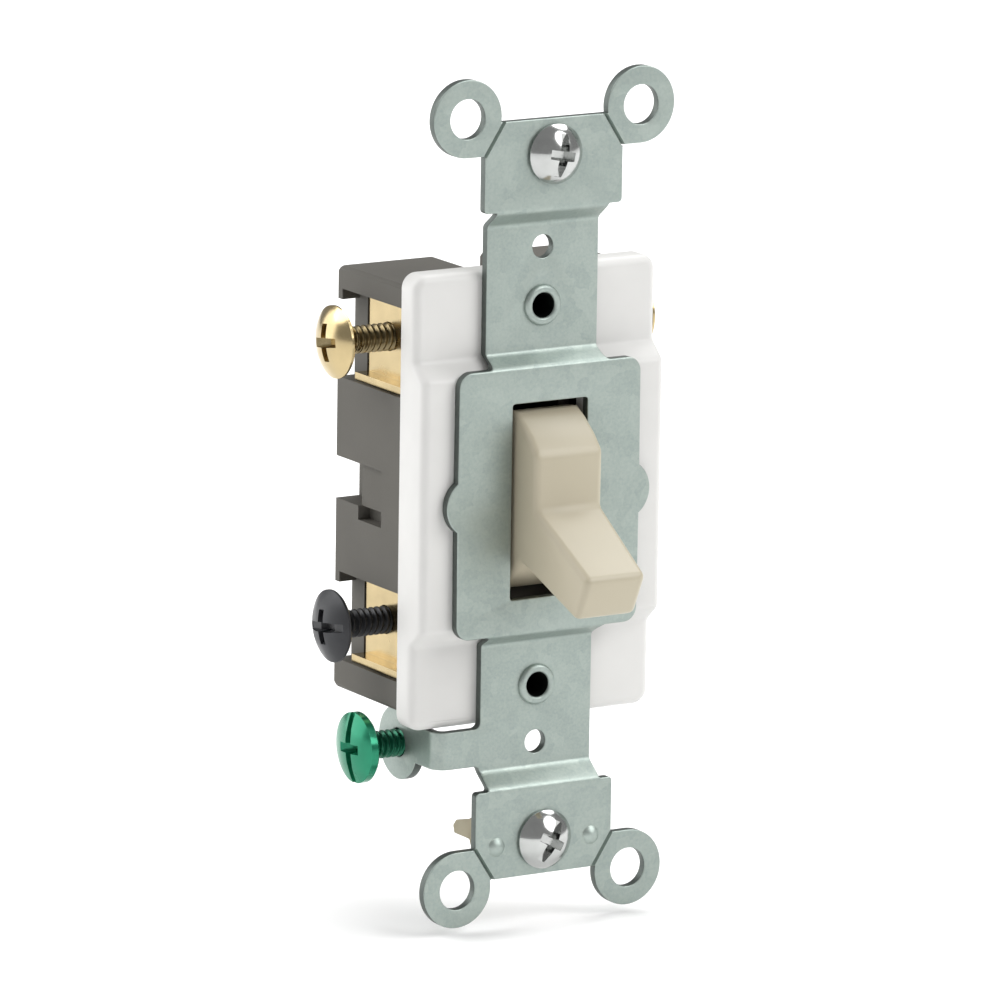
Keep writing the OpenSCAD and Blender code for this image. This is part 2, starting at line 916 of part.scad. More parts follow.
mounting_strap();
front_frame();
rear_body();
toggle();
drive_spring();
contact_rocker();
upper_moving_contact();
lower_moving_contact();
common_terminal();
left_traveller_terminal();
right_traveller_terminal();
upper_fixed_contact();
lower_fixed_contact();
left_traveller_screw();
common_screw();
right_traveller_screw();
ground_screw();
top_mounting_screw();
bottom_mounting_screw();
top_screw_retainer();
bottom_screw_retainer();
upper_eyelet();
lower_eyelet();
grounding_clip();
clip_stakes();
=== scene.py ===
import math

import bmesh
import bpy
from bpy.props import FloatProperty, FloatVectorProperty, PointerProperty
from mathutils import Euler, Matrix, Vector


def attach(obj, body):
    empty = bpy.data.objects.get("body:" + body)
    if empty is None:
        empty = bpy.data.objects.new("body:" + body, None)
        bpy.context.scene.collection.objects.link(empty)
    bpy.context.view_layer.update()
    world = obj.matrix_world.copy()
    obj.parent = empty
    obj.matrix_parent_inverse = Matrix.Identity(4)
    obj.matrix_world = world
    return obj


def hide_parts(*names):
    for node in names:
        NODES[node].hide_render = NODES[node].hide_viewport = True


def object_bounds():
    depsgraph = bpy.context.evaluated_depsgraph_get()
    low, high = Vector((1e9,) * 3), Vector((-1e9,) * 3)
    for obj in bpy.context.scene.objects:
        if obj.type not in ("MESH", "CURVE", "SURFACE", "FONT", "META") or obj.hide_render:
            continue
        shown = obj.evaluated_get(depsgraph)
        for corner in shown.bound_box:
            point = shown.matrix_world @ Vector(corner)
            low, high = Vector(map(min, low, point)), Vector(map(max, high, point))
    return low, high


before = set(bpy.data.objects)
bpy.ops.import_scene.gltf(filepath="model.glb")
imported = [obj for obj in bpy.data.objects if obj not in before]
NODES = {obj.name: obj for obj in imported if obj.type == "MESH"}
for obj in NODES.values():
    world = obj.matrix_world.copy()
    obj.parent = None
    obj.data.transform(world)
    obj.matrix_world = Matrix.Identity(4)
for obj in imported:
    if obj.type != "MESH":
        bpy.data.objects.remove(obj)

bl_info = {
    "name": "Toggle wall switch",
    "version": (1, 0, 0),
    "blender": (4, 5, 0),
    "location": "3D View > Sidebar > Switch",
    "description": "Finishes a three-way toggle wall switch round its CAD model",
    "category": "Object",
}

MM = 0.001
CAD_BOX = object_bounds()

# stations of the strap, in millimetres, as the CAD model has them
PLATFORM_END, PLATFORM_HALF, PLATFORM_ROUND = 16.2, 12.55, 1.8
RECESS_REAR = 2.3
EAR_BEND = 34.6
EYELET_Z = 23.1
PLATE_HOLE_Z = 30.165
BOX_SCREW_Z = 41.67
EAR_X, EAR_Z, EAR_R, EAR_TOP = 11.96, 46.65, 4.65, 45.95
BULGE_X, BULGE_R, BULGE_HALF = 10.4, 3.7, 2.96
STEP_ZONES = ((15.2, 18.6), (32.6, 35.4))
STRAP_FRONT = -1.2
TAB_TOP, TAB_BOTTOM, TAB_X = -27.8, -32.4, -13.8
GROUND_Y, GROUND_Z, GROUND_PAD = 10.2, -30.7, 4.5
PIVOT = Vector((0, 3.7, 0))
ROCKER_PIVOT = Vector((0, 16, 0))
LEVER_REST = math.radians(25.7)
UPPER_SCREW_Z, LOWER_SCREW_Z = 18.25, -16.35
EYELET_R, EYELET_BORE, EYELET_LIP, EYELET_FLARE = 1.9, 1.5, 2.5, 2.6
EYELET_FLOOR, FLANGE_REAR = 6.5, 8.5
EYELET_HOLE = 1.95
# white frame: half width, half height and corner, then how deep it is drawn and where its rear face ends up
FRAME_HALF_W, FRAME_HALF_H, FRAME_CORNER = 16.75, 27.6, 1.8
FRAME_BLANK, FRAME_REAR = 6.0, 5.8
# openings cut in the frame: name, half width, front, half height
FRAME_OPENINGS = (("window_cutter", 5.4, -1, 12.6), ("cavity_cutter", 12.2, 1.8, 14.4))
FRAME_CUT_REAR = 7
# seats for the lever's trunnions: front, rear, half height, pivot depth, bore and the two faces
SEAT_FRONT, SEAT_REAR, SEAT_HALF, SEAT_PIVOT, SEAT_BORE = 1.7, 5.8, 4.6, 3.7, 1.85
SEAT_INNER, SEAT_OUTER = 5.41, 7.6
# upper half of the lever's side outline: forward from the pivot, up
LEVER_OUTLINE = [(21.4, 3.0), (8.7, 3.8), (5.8, 10.0), (3.4, 10.85), (0.6, 11.4), (-1.5, 11.5), (-2.5, 10.6),
                 (0.6, 6.4), (-2.0, 4.1)]
LEVER_TAPER = (8.0, 22.4)
LEVER_HALF_WIDTHS = (4.7, 4.1)
CAM_FACE = 3.9
THREAD_START = 0.1 * MM
# end of a trunnion: radius and distance from the middle
TRUNNION = [(0, 7.3), (1.5, 7.3), (1.8, 7.0)]
# head diameter, rim, dome and shank length of each kind of screw, in metres
BOX_SCREW = (7.2 * MM, 0.4 * MM, 1.9 * MM, 13.5 * MM)
WIRING_SCREW = (8.8 * MM, 0.5 * MM, 1.5 * MM, 9 * MM)
GROUND_SCREW = (8.6 * MM, 1.2 * MM, 0.9 * MM, 7.2 * MM)
SHANK_R = 1.7 * MM
WIRING_HEAD_X, WIRING_Y, GROUND_HEAD_X = 20.6, 13.8, 18.6
ROCKER_TILT = math.radians(7)


# ---------------------------------------------------------------- settings


def length_setting(name, text, default):
    """A distance in metres"""
    return FloatProperty(name=name, description=text, default=default, subtype="DISTANCE", unit="LENGTH")


def number_setting(name, text, default):
    """A plain number"""
    return FloatProperty(name=name, description=text, default=default)


def vector_setting(name, text, default, **kind):
    """Three numbers"""
    return FloatVectorProperty(name=name, description=text, default=default, size=3, **kind)


def colour_setting(name, text, default):
    """A colour in linear light"""
    return vector_setting(name, text, default, subtype="COLOR", min=0, max=1)


def place_setting(name, text, default):
    """A point in metres"""
    return vector_setting(name, text, default, subtype="TRANSLATION", unit="LENGTH")


class SwitchSizes(bpy.types.PropertyGroup):
    """Sizes of the finished details, in metres"""

    sheet: length_setting("Sheet thickness", "Thickness of the strap's steel", 1.2 * MM)
    sheet_edge: length_setting("Sheet edge", "Rounding of the blanked edges", 0.13 * MM)
    bend: length_setting("Bend radius", "Inner radius of the strap's bends", 0.7 * MM)
    frame_round: length_setting("Frame rounding", "Rounding of the white frame's front edges", 1.1 * MM)
    lever_round: length_setting("Lever rounding", "Rounding of the lever's edges", 0.9 * MM)
    body_edge: length_setting("Body edge", "Rounding of the rear body's moulded edges", 0.16 * MM)
    thread_pitch: length_setting("Thread pitch", "Distance between two turns of a number six screw",
                                 0.794 * MM)
    thread_depth: length_setting("Thread depth", "Depth of the screw thread", 0.34 * MM)


class SwitchColours(bpy.types.PropertyGroup):
    """Base colours of the finishes, linear light"""

    zinc: colour_setting("Zinc", "Galvanised steel of the strap", (0.355, 0.400, 0.366))
    bright: colour_setting("Bright plate", "Plated box screws", (0.50, 0.51, 0.50))
    white: colour_setting("Frame white", "Moulded front frame", (0.650, 0.645, 0.628))
    grey: colour_setting("Body grey", "Moulded rear body", (0.103, 0.098, 0.086))
    almond: colour_setting("Almond", "Moulded lever", (0.448, 0.404, 0.302))
    brass: colour_setting("Brass", "Brass screws and clamp plates", (0.51, 0.405, 0.222))
    black: colour_setting("Black oxide", "Common screw", (0.022, 0.023, 0.026))
    green: colour_setting("Ground green", "Ground screw", (0.014, 0.215, 0.115))
    silver: colour_setting("Silver", "Contact faces", (0.88, 0.87, 0.84))
    fibre: colour_setting("Fibre", "Pressed fibre retainers", (0.30, 0.19, 0.11))
    bronze: colour_setting("Bronze", "Grounding clip", (0.30, 0.27, 0.19))


class SwitchStage(bpy.types.PropertyGroup):
    """Camera, floor and light"""

    camera_place: place_setting("Camera place", "Where the camera stands", (-0.5536, -0.9020, 0.2283))
    camera_turn: vector_setting("Camera turn", "Camera rotation, XYZ",
                                (1.357895, -0.014770, -0.542343), subtype="EULER", unit="ROTATION")
    lens: number_setting("Lens", "Focal length on a 36 mm sensor, in millimetres", 327.44)
    floor_drop: length_setting("Floor drop", "Gap between the lowest ear and the floor", 1.0 * MM)
    floor_size: length_setting("Floor size", "Width of the floor", 14.0)
    sky: number_setting("Room light", "Strength of the even light from all round", 0.35)
    key: number_setting("Key light", "Strength of the light from front right", 1.8)
    rim: number_setting("Rim light", "Strength of the light from behind on the left", 1.7)
    key_from: vector_setting("Key from", "Where the key light comes from", (0.50, -0.62, 0.62))
    rim_from: vector_setting("Rim from", "Where the rim light comes from", (-0.65, 0.45, 0.75))
    box_place: place_setting("Soft box place", "Where the overhead lamp hangs", (0.62, 0.24, 1.0))
    box_size: length_setting("Soft box size", "Width of the overhead lamp", 0.9)
    box_power: number_setting("Soft box power", "Power of the overhead lamp, in watts", 8.0)
    side_place: place_setting("Side box place", "Where the lamp behind on the left hangs",
                              (-0.75, 0.85, 0.15))
    side_power: number_setting("Side box power", "Power of the lamp behind on the left, in watts", 4.0)
    softness: FloatProperty(name="Softness", description="Apparent width of the two lights",
                            default=math.radians(45), subtype="ANGLE", unit="ROTATION")


SETTINGS = (SwitchSizes, SwitchColours, SwitchStage)


# ---------------------------------------------------------------- shader groups


def new_group(name, inputs, outputs):
    """An empty shader node group with named sockets, and its two end nodes."""
    group = bpy.data.node_groups.new(name, "ShaderNodeTree")
    for label, kind, value in inputs:
        socket = group.interface.new_socket(name=label, in_out="INPUT", socket_type=kind)
        if value is not None:
            socket.default_value = value
    for label, kind in outputs:
        group.interface.new_socket(name=label, in_out="OUTPUT", socket_type=kind)
    return group, group.nodes.new("NodeGroupInput"), group.nodes.new("NodeGroupOutput")


def noise(tree, coordinates, scale, detail=3.0, rough=0.55):
    node = tree.nodes.new("ShaderNodeTexNoise")
    node.inputs["Detail"].default_value = detail
    node.inputs["Roughness"].default_value = rough
    tree.links.new(coordinates, node.inputs["Vector"])
    if isinstance(scale, (int, float)):
        node.inputs["Scale"].default_value = scale
    else:
        tree.links.new(scale, node.inputs["Scale"])
    return node


def maths(tree, operation, a, b=None, clamp=False):
    node = tree.nodes.new("ShaderNodeMath")
    node.operation, node.use_clamp = operation, clamp
    for socket, value in zip(node.inputs, (a, b)):
        if value is None:
            continue
        if isinstance(value, (int, float)):
            socket.default_value = value
        else:
            tree.links.new(value, socket)
    return node.outputs[0]


def remap(tree, value, low, high, to_low, to_high):
    node = tree.nodes.new("ShaderNodeMapRange")
    node.inputs["From Min"].default_value, node.inputs["From Max"].default_value = low, high
    for label, target in (("To Min", to_low), ("To Max", to_high)):
        if isinstance(target, (int, float)):
            node.inputs[label].default_value = target
        else:
            tree.links.new(target, node.inputs[label])
    tree.links.new(value, node.inputs["Value"])
    return node.outputs[0]


def mix_colour(tree, factor, a, b, blend="MIX"):
    node = tree.nodes.new("ShaderNodeMix")
    node.data_type, node.blend_type = "RGBA", blend
    for socket, value in ((node.inputs[0], factor), (node.inputs[6], a), (node.inputs[7], b)):
        if isinstance(value, (int, float)):
            socket.default_value = value
        elif isinstance(value, (tuple, list)):
            socket.default_value = (*value[:3], 1.0)
        else:
            tree.links.new(value, socket)
    return node.outputs[2]


def grain_group():
    """Fine moulded grain with a few broad swells: a height for bump and a mask for roughness."""
    group, ins, outs = new_group(
        "Moulded grain",
        [("Fine", "NodeSocketFloat", 2600.0), ("Broad", "NodeSocketFloat", 60.0)],
        [("Height", "NodeSocketFloat"), ("Mask", "NodeSocketFloat")])
    place = group.nodes.new("ShaderNodeTexCoord").outputs["Object"]
    fine = noise(group, place, ins.outputs["Fine"], 2.0, 0.5).outputs["Fac"]
    broad = noise(group, place, ins.outputs["Broad"], 2.0, 0.4).outputs["Fac"]
    height = maths(group, "ADD", maths(group, "MULTIPLY", fine, 0.35), maths(group, "MULTIPLY", broad, 0.65))
    group.links.new(height, outs.inputs["Height"])
    group.links.new(broad, outs.inputs["Mask"])
    return group


def tone_group():
    """Base colour that drifts a little lighter and darker over the surface."""
    group, ins, outs = new_group(
        "Tone drift",
        [("Colour", "NodeSocketColor", (0.8, 0.8, 0.8, 1)), ("Scale", "NodeSocketFloat", 90.0),
         ("Amount", "NodeSocketFloat", 0.06)],
        [("Colour", "NodeSocketColor"), ("Mask", "NodeSocketFloat")])
    place = group.nodes.new("ShaderNodeTexCoord").outputs["Object"]
    field = noise(group, place, ins.outputs["Scale"], 3.0, 0.6).outputs["Fac"]
    low = maths(group, "SUBTRACT", 1.0, ins.outputs["Amount"])
    high = maths(group, "ADD", 1.0, ins.outputs["Amount"])
    gain = remap(group, field, 0.3, 0.7, low, high)
    scaled = group.nodes.new("ShaderNodeVectorMath")
    scaled.operation = "SCALE"
    group.links.new(ins.outputs["Colour"], scaled.inputs[0])
    group.links.new(gain, scaled.inputs["Scale"])
    group.links.new(scaled.outputs[0], outs.inputs["Colour"])
    group.links.new(field, outs.inputs["Mask"])
    return group


def wear_group():
    """Mask that is high on edges that stick out, broken up by noise."""
    group, ins, outs = new_group(
        "Edge wear",
        [("Width", "NodeSocketFloat", 0.00025), ("Break up", "NodeSocketFloat", 900.0)],
        [("Mask", "NodeSocketFloat")])
    place = group.nodes.new("ShaderNodeTexCoord").outputs["Object"]
    bevel = group.nodes.new("ShaderNodeBevel")
    bevel.samples = 4
    group.links.new(ins.outputs["Width"], bevel.inputs["Radius"])
    normal = group.nodes.new("ShaderNodeNewGeometry").outputs["Normal"]
    dot = group.nodes.new("ShaderNodeVectorMath")
    dot.operation = "DOT_PRODUCT"
    group.links.new(bevel.outputs[0], dot.inputs[0])
    group.links.new(normal, dot.inputs[1])
    edge = remap(group, dot.outputs["Value"], 0.80, 0.995, 1.0, 0.0)
    rough = noise(group, place, ins.outputs["Break up"], 3.0, 0.6).outputs["Fac"]
    mask = maths(group, "MULTIPLY", edge, remap(group, rough, 0.35, 0.6, 0.2, 1.0), True)
    group.links.new(mask, outs.inputs["Mask"])
    return group


def spangle_group():
    """Zinc spangle: crystal patches of slightly different tone, with fine mottling."""
    group, ins, outs = new_group(
        "Zinc spangle",
        [("Light", "NodeSocketColor", (0.6, 0.6, 0.6, 1)), ("Dark", "NodeSocketColor", (0.4, 0.4, 0.4, 1)),
         ("Patch", "NodeSocketFloat", 560.0), ("Contrast", "NodeSocketFloat", 0.35)],
        [("Colour", "NodeSocketColor"), ("Height", "NodeSocketFloat"), ("Mask", "NodeSocketFloat")])
    place = group.nodes.new("ShaderNodeTexCoord").outputs["Object"]
    warp = noise(group, place, 300.0, 3.0, 0.6)
    shifted = group.nodes.new("ShaderNodeMix")
    shifted.data_type, shifted.blend_type = "RGBA", "LINEAR_LIGHT"
    shifted.inputs[0].default_value = 0.0016
    group.links.new(place, shifted.inputs[6])
    group.links.new(warp.outputs["Color"], shifted.inputs[7])
    cells = group.nodes.new("ShaderNodeTexVoronoi")
    cells.feature = "F1"
    group.links.new(shifted.outputs[2], cells.inputs["Vector"])
    group.links.new(ins.outputs["Patch"], cells.inputs["Scale"])
    split = group.nodes.new("ShaderNodeSeparateColor")
    group.links.new(cells.outputs["Color"], split.inputs[0])
    fine = noise(group, place, 2900.0, 4.0, 0.65).outputs["Fac"]
    tone = maths(group, "ADD", maths(group, "MULTIPLY", split.outputs[0], 0.22),
                 maths(group, "MULTIPLY", fine, 0.78))
    centred = maths(group, "SUBTRACT", tone, 0.5)
    factor = maths(group, "ADD", maths(group, "MULTIPLY", centred, ins.outputs["Contrast"]), 0.5, True)
    mixed = mix_colour(group, factor, ins.outputs["Dark"], ins.outputs["Light"])
    group.links.new(mixed, outs.inputs["Colour"])
    group.links.new(fine, outs.inputs["Height"])
    group.links.new(tone, outs.inputs["Mask"])
    return group


def shader_groups():
    return {"grain": grain_group(), "tone": tone_group(), "wear": wear_group(), "spangle": spangle_group()}


# ---------------------------------------------------------------- materials


class Finish:
    """One material: a Principled shader with a few helpers to wire groups into it."""

    def __init__(self, name, groups):
        self.material = bpy.data.materials.new(name)
        self.material.use_nodes = True
        self.tree = self.material.node_tree
        self.shader = self.tree.nodes["Principled BSDF"]
        self.groups = groups

    def put(self, key, **values):
        node = self.tree.nodes.new("ShaderNodeGroup")
        node.node_tree = self.groups[key]
        for label, value in values.items():
            socket = node.inputs[label.replace("_", " ")]
            if isinstance(value, bpy.types.NodeSocket):
                self.tree.links.new(value, socket)
            else:
                socket.default_value = (*value, 1.0) if isinstance(value, tuple) else value
        return node

    def bump(self, height, distance, strength=0.6):
        node = self.tree.nodes.new("ShaderNodeBump")
        node.inputs["Strength"].default_value = strength
        node.inputs["Distance"].default_value = distance
        self.tree.links.new(height, node.inputs["Height"])
        self.tree.links.new(node.outputs[0], self.shader.inputs["Normal"])

    def feed(self, label, value):
        if isinstance(value, (int, float)):
            self.shader.inputs[label].default_value = value
        elif isinstance(value, tuple):
            self.shader.inputs[label].default_value = (*value, 1.0)
        else:
            self.tree.links.new(value, self.shader.inputs[label])


def scaled(colour, gain):
    return tuple(min(1.0, c * gain) for c in colour)


def zinc_sheet(name, colour, groups, contrast=1.1, gain=1.0):
    f = Finish(name, groups)
    # gain scales the whole colour: it darkens the strap's cut edges (bare steel and painted shade) and the
    # rivet bores (painted shade)
    colour = scaled(colour, gain)
    cool = tuple(c * g for c, g in zip(colour, (0.76, 0.81, 0.84)))
    spangle = f.put("spangle", Light=scaled(colour, 1.14), Dark=cool, Contrast=contrast)
    wear = f.put("wear", Width=0.00018)
    worn = scaled(colour, 1.2)
    f.feed("Base Color", mix_colour(f.tree, wear.outputs["Mask"], spangle.outputs["Colour"], worn))
    f.feed("Metallic", 0.8)
    f.feed("Roughness", remap(f.tree, spangle.outputs["Mask"], 0.2, 0.8, 0.52, 0.38))
    f.bump(spangle.outputs["Height"], 0.00002, 0.35)
    return f.material


def moulded(name, colour, groups, gloss, fine=2600.0, depth=0.000012, drift=0.03, shine=0.45):
    f = Finish(name, groups)
    tone = f.put("tone", Colour=colour, Amount=drift)
    grain = f.put("grain", Fine=fine)
    f.feed("Base Color", tone.outputs["Colour"])
    f.feed("Roughness", remap(f.tree, grain.outputs["Mask"], 0.3, 0.7, gloss - 0.05, gloss + 0.05))
    f.feed("Specular IOR Level", shine)
    f.bump(grain.outputs["Height"], depth, 0.5)
    return f.material


def plated(name, colour, groups, rough, metallic=1.0, drift=0.10):
    f = Finish(name, groups)
    tone = f.put("tone", Colour=colour, Amount=drift, Scale=260.0)
    wear = f.put("wear", Width=0.00012)
    worn = scaled(colour, 1.15)
    f.feed("Base Color", mix_colour(f.tree, wear.outputs["Mask"], tone.outputs["Colour"], worn))
    f.feed("Metallic", metallic)
    grain = f.put("grain", Fine=1800.0, Broad=300.0)
    f.feed("Roughness", remap(f.tree, grain.outputs["Mask"], 0.3, 0.7, rough * 0.75, rough * 1.3))
    f.bump(grain.outputs["Height"], 0.000012, 0.35)
    return f.material


def fibre_sheet(name, colour, groups):
    f = Finish(name, groups)
    tone = f.put("tone", Colour=colour, Amount=0.22, Scale=900.0)
    grain = f.put("grain", Fine=1400.0, Broad=500.0)
    f.feed("Base Color", tone.outputs["Colour"])
    f.feed("Roughness", remap(f.tree, grain.outputs["Mask"], 0.3, 0.7, 0.8, 0.95))
    f.bump(grain.outputs["Height"], 0.00006, 0.6)
    return f.material


def make_finishes(colours):
    groups = shader_groups()
    c = {key: tuple(getattr(colours, key)) for key in colours.__annotations__}
    return {
        "zinc": zinc_sheet("Galvanised sheet", c["zinc"], groups),
        # the strap's cut edges: a much darker copy of the zinc, partly bare steel and partly painted shade
        # along the seam with the frame
        "sheared": zinc_sheet("Sheared edge", c["zinc"], groups, 0.7, 0.34),
        "stake": zinc_sheet("Galvanised stake", c["zinc"], groups, 0.6, 1.1),
        # near-black copy of the zinc for the inside of the rivets' bores: painted shade of the deep hole
        "bore": zinc_sheet("Rivet bore", c["zinc"], groups, 0.7, 0.05),
        # thread finishes: darker copies of each screw's finish for the shanks, painted shade as under the
        # heads
        "brass_thread": plated("Brass thread", scaled(c["brass"], 0.42), groups, 0.30),
        "black_thread": plated("Black thread", scaled(c["black"], 0.6), groups, 0.45, 0.25),
        "green_thread": plated("Green thread", scaled(c["green"], 0.5), groups, 0.26, 0.6, 0.12),
        "bright_thread": plated("Bright thread", scaled(c["bright"], 0.7), groups, 0.24),
        "bright": plated("Bright zinc plate", c["bright"], groups, 0.16),
        "white": moulded("White moulding", c["white"], groups, 0.42),
        "grey": moulded("Grey moulding", c["grey"], groups, 0.62, 1900.0, 0.00003, 0.05, 0.25),
        "almond": moulded("Almond moulding", c["almond"], groups, 0.36, 2600.0, 0.000008, 0.02),
        "brass_plate": plated("Stamped brass", c["brass"], groups, 0.22),
        "brass": plated("Brass plate", c["brass"], groups, 0.18),
        "black": plated("Black oxide", c["black"], groups, 0.42, 0.25),
        "green": plated("Green plate", c["green"], groups, 0.20, 0.6, 0.12),
        "silver": plated("Silver contact", c["silver"], groups, 0.28),
        "wire": plated("Spring wire", scaled(c["bright"], 0.8), groups, 0.25),
        "fibre": fibre_sheet("Pressed fibre", c["fibre"], groups),
        "bronze": plated("Bronze sheet", c["bronze"], groups, 0.38, 0.7),
    }


FINISHES = {}


def finish_of(key):
    if not FINISHES:
        FINISHES.update(make_finishes(bpy.context.scene.switch_colours))
    return FINISHES[key]


# ---------------------------------------------------------------- mesh helpers


def object_of(name, mesh):
    obj = bpy.data.objects.new(name, mesh)
    bpy.context.scene.collection.objects.link(obj)
    return obj


def dress(obj, keys, body, slot=None, *nodes):
    """Finishes, body and the CAD nodes that a new piece stands for. The record slot argument is not used."""
    keys = (keys,) if isinstance(keys, str) else keys
    parts = [min(face.material_index, len(keys) - 1) for face in obj.data.polygons]
    obj.data.materials.clear()
    for key in keys:
        obj.data.materials.append(finish_of(key))
    obj.data.polygons.foreach_set("material_index", parts)
    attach(obj, body)
    if nodes:
        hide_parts(*nodes)
    return obj


def finish_node(name, key):
    """A CAD node keeps its shape and takes a finish."""
    node = NODES[name]
    if not node.material_slots:
        node.data.materials.append(finish_of(key))
    for slot in node.material_slots:
        slot.material = finish_of(key)
    return node


def soften(obj, width, segments=2, angle=28.0):
    """Rounded edges on a CAD node, as modifiers."""
    weld = obj.modifiers.new("Joined corners", "WELD")
    weld.merge_threshold = 0.000004
    bevel = obj.modifiers.new("Rounded edges", "BEVEL")
    bevel.width, bevel.segments = width, segments
    bevel.limit_method, bevel.angle_limit = "ANGLE", math.radians(angle)
    bevel.harden_normals = True
    bevel.miter_outer = "MITER_ARC"
    return obj


def smooth(mesh, angle=32.0):
    mesh.polygons.foreach_set("use_smooth", [True] * len(mesh.polygons))
    mesh.set_sharp_from_angle(angle=math.radians(angle))


def mesh_from(bm, name, angle=32.0):
    bmesh.ops.recalc_face_normals(bm, faces=bm.faces)
    mesh = bpy.data.meshes.new(name)
    bm.to_mesh(mesh)
    bm.free()
    smooth(mesh, angle)
    return mesh


def lathe(bm, profile, steps=48, matrix=Matrix.Identity(4)):
    """Turns a profile of (radius, height) round Z. Ends at radius 0 become points."""
    rings = []
    for r, z in profile:
        if r < 1e-9:
            rings.append([bm.verts.new(matrix @ Vector((0, 0, z)))])
            continue
        rings.append([bm.verts.new(matrix @ Vector((r * math.cos(t), r * math.sin(t), z)))
                      for t in (math.tau * i / steps for i in range(steps))])
    for a, b in zip(rings, rings[1:]):
        for i in range(steps):
            j = (i + 1) % steps
            if len(a) == 1 and len(b) == 1:
                continue
            if len(a) == 1:
                bm.faces.new((a[0], b[i], b[j]))
            elif len(b) == 1:
                bm.faces.new((a[i], a[j], b[0]))
            else:
                bm.faces.new((a[i], a[j], b[j], b[i]))


def arc(cx, cy, r, start, end, steps):
    """Points on an arc, in degrees, both ends included."""
    return [(cx + r * math.cos(math.radians(start + (end - start) * i / steps)),
             cy + r * math.sin(math.radians(start + (end - start) * i / steps))) for i in range(steps + 1)]


def circle(cx, cy, r, steps=48):
    return arc(cx, cy, r, 0, 360 * (1 - 1 / steps), steps - 1)


def plate(name, outline, holes, depth, edge, segments=3):
    """Flat sheet with holes and rounded edges, in X and Z, from y 0 to y depth. All in millimetres."""
    curve = bpy.data.curves.new(name, "CURVE")
    curve.dimensions, curve.fill_mode = "2D", "BOTH"
    curve.extrude = (depth / 2 - edge) * MM
    curve.bevel_depth, curve.bevel_resolution = edge * MM, segments
    curve.offset = -edge * MM
    for points in (outline, *holes):
        spline = curve.splines.new("POLY")
        spline.points.add(len(points) - 1)
        spline.points.foreach_set("co", [v for x, z in points for v in (x * MM, z * MM, 0.0, 1.0)])
        spline.use_cyclic_u = True
    obj = object_of(name, curve)
    obj.rotation_euler = (math.radians(90), 0, 0)
    obj.location = (0, depth / 2 * MM, 0)
    bpy.context.view_layer.update()
    mesh = bpy.data.meshes.new_from_object(obj.evaluated_get(bpy.context.evaluated_depsgraph_get()))
    mesh.transform(obj.matrix_world)
    bpy.data.objects.remove(obj)
    bm = bmesh.new()
    bm.from_mesh(mesh)
    bpy.data.meshes.remove(mesh)
    bmesh.ops.remove_doubles(bm, verts=bm.verts, dist=0.000002)
    return bm


def slice_at(bm, stations, axis):
    """Cuts edge loops across the mesh at each station, in millimetres."""
    normal = Vector((0, 0, 0))
    normal[axis] = 1
    for s in stations:
        point = Vector((0, 0, 0))
        point[axis] = s * MM
        geometry = bm.verts[:] + bm.edges[:] + bm.faces[:]
        bmesh.ops.bisect_plane(bm, geom=geometry, plane_co=point, plane_no=normal, dist=1e-7)


def boolean(obj, cutter, operation="DIFFERENCE"):
    """Applies one exact boolean and removes the cutter."""
    change = obj.modifiers.new("Cut", "BOOLEAN")
    change.operation, change.solver, change.object = operation, "EXACT", cutter
    change.use_self = True
    bpy.context.view_layer.update()
    mesh = bpy.data.meshes.new_from_object(obj.evaluated_get(bpy.context.evaluated_depsgraph_get()))
    obj.modifiers.clear()
    old = obj.data
    obj.data = mesh
    bpy.data.meshes.remove(old)
    bpy.data.objects.remove(cutter)
    return obj


def box_mesh(bm, low, high, matrix=Matrix.Identity(4)):
    low, high = Vector(low), Vector(high)
    made = bmesh.ops.create_cube(bm, size=1.0)["verts"]
    size, centre = high - low, (low + high) / 2
    bmesh.ops.transform(bm, verts=made,
                        matrix=matrix @ Matrix.Translation(centre) @ Matrix.Diagonal((*size, 1)))
    return made


# ---------------------------------------------------------------- strap


def step_shift(z, start, end, radius):
    """How far along a smooth step a point is, from 0 to 1, with rounded bends of the given radius."""
    t = (z - start) / (end - start)
    soft = radius / abs(end - start)
    low, high = -soft * 0.45, 1 + soft * 0.45
    t = (t - low) / (high - low)
    t = min(1.0, max(0.0, t))
    bend = 0.30
    slope = 1 / (1 - bend)
    if t < bend:
        return slope * t * t / (2 * bend)
    if t > 1 - bend:
        return 1 - slope * (1 - t) * (1 - t) / (2 * bend)
    return slope * (t - bend / 2)


def strap_depth(z, joggle=RECESS_REAR):
    """Y shift of the sheet at height z: 0 at the ears and platform, joggle in the two recesses."""
    h = abs(z)
    return joggle * (step_shift(h, 16.1, 17.7, 0.3) - step_shift(h, 33.0, 35.0, 0.5))


def bend_line(sheet, bend):
    """X at which the ground tab starts to bend back."""
    return TAB_X + sheet + bend


def tab_centre(sheet, bend):
    """X of the middle of the tab's pad while the tab is still flat."""
    straight = GROUND_Y - RECESS_REAR - bend
    return bend_line(sheet, bend) - straight - (bend + sheet / 2) * math.pi / 2


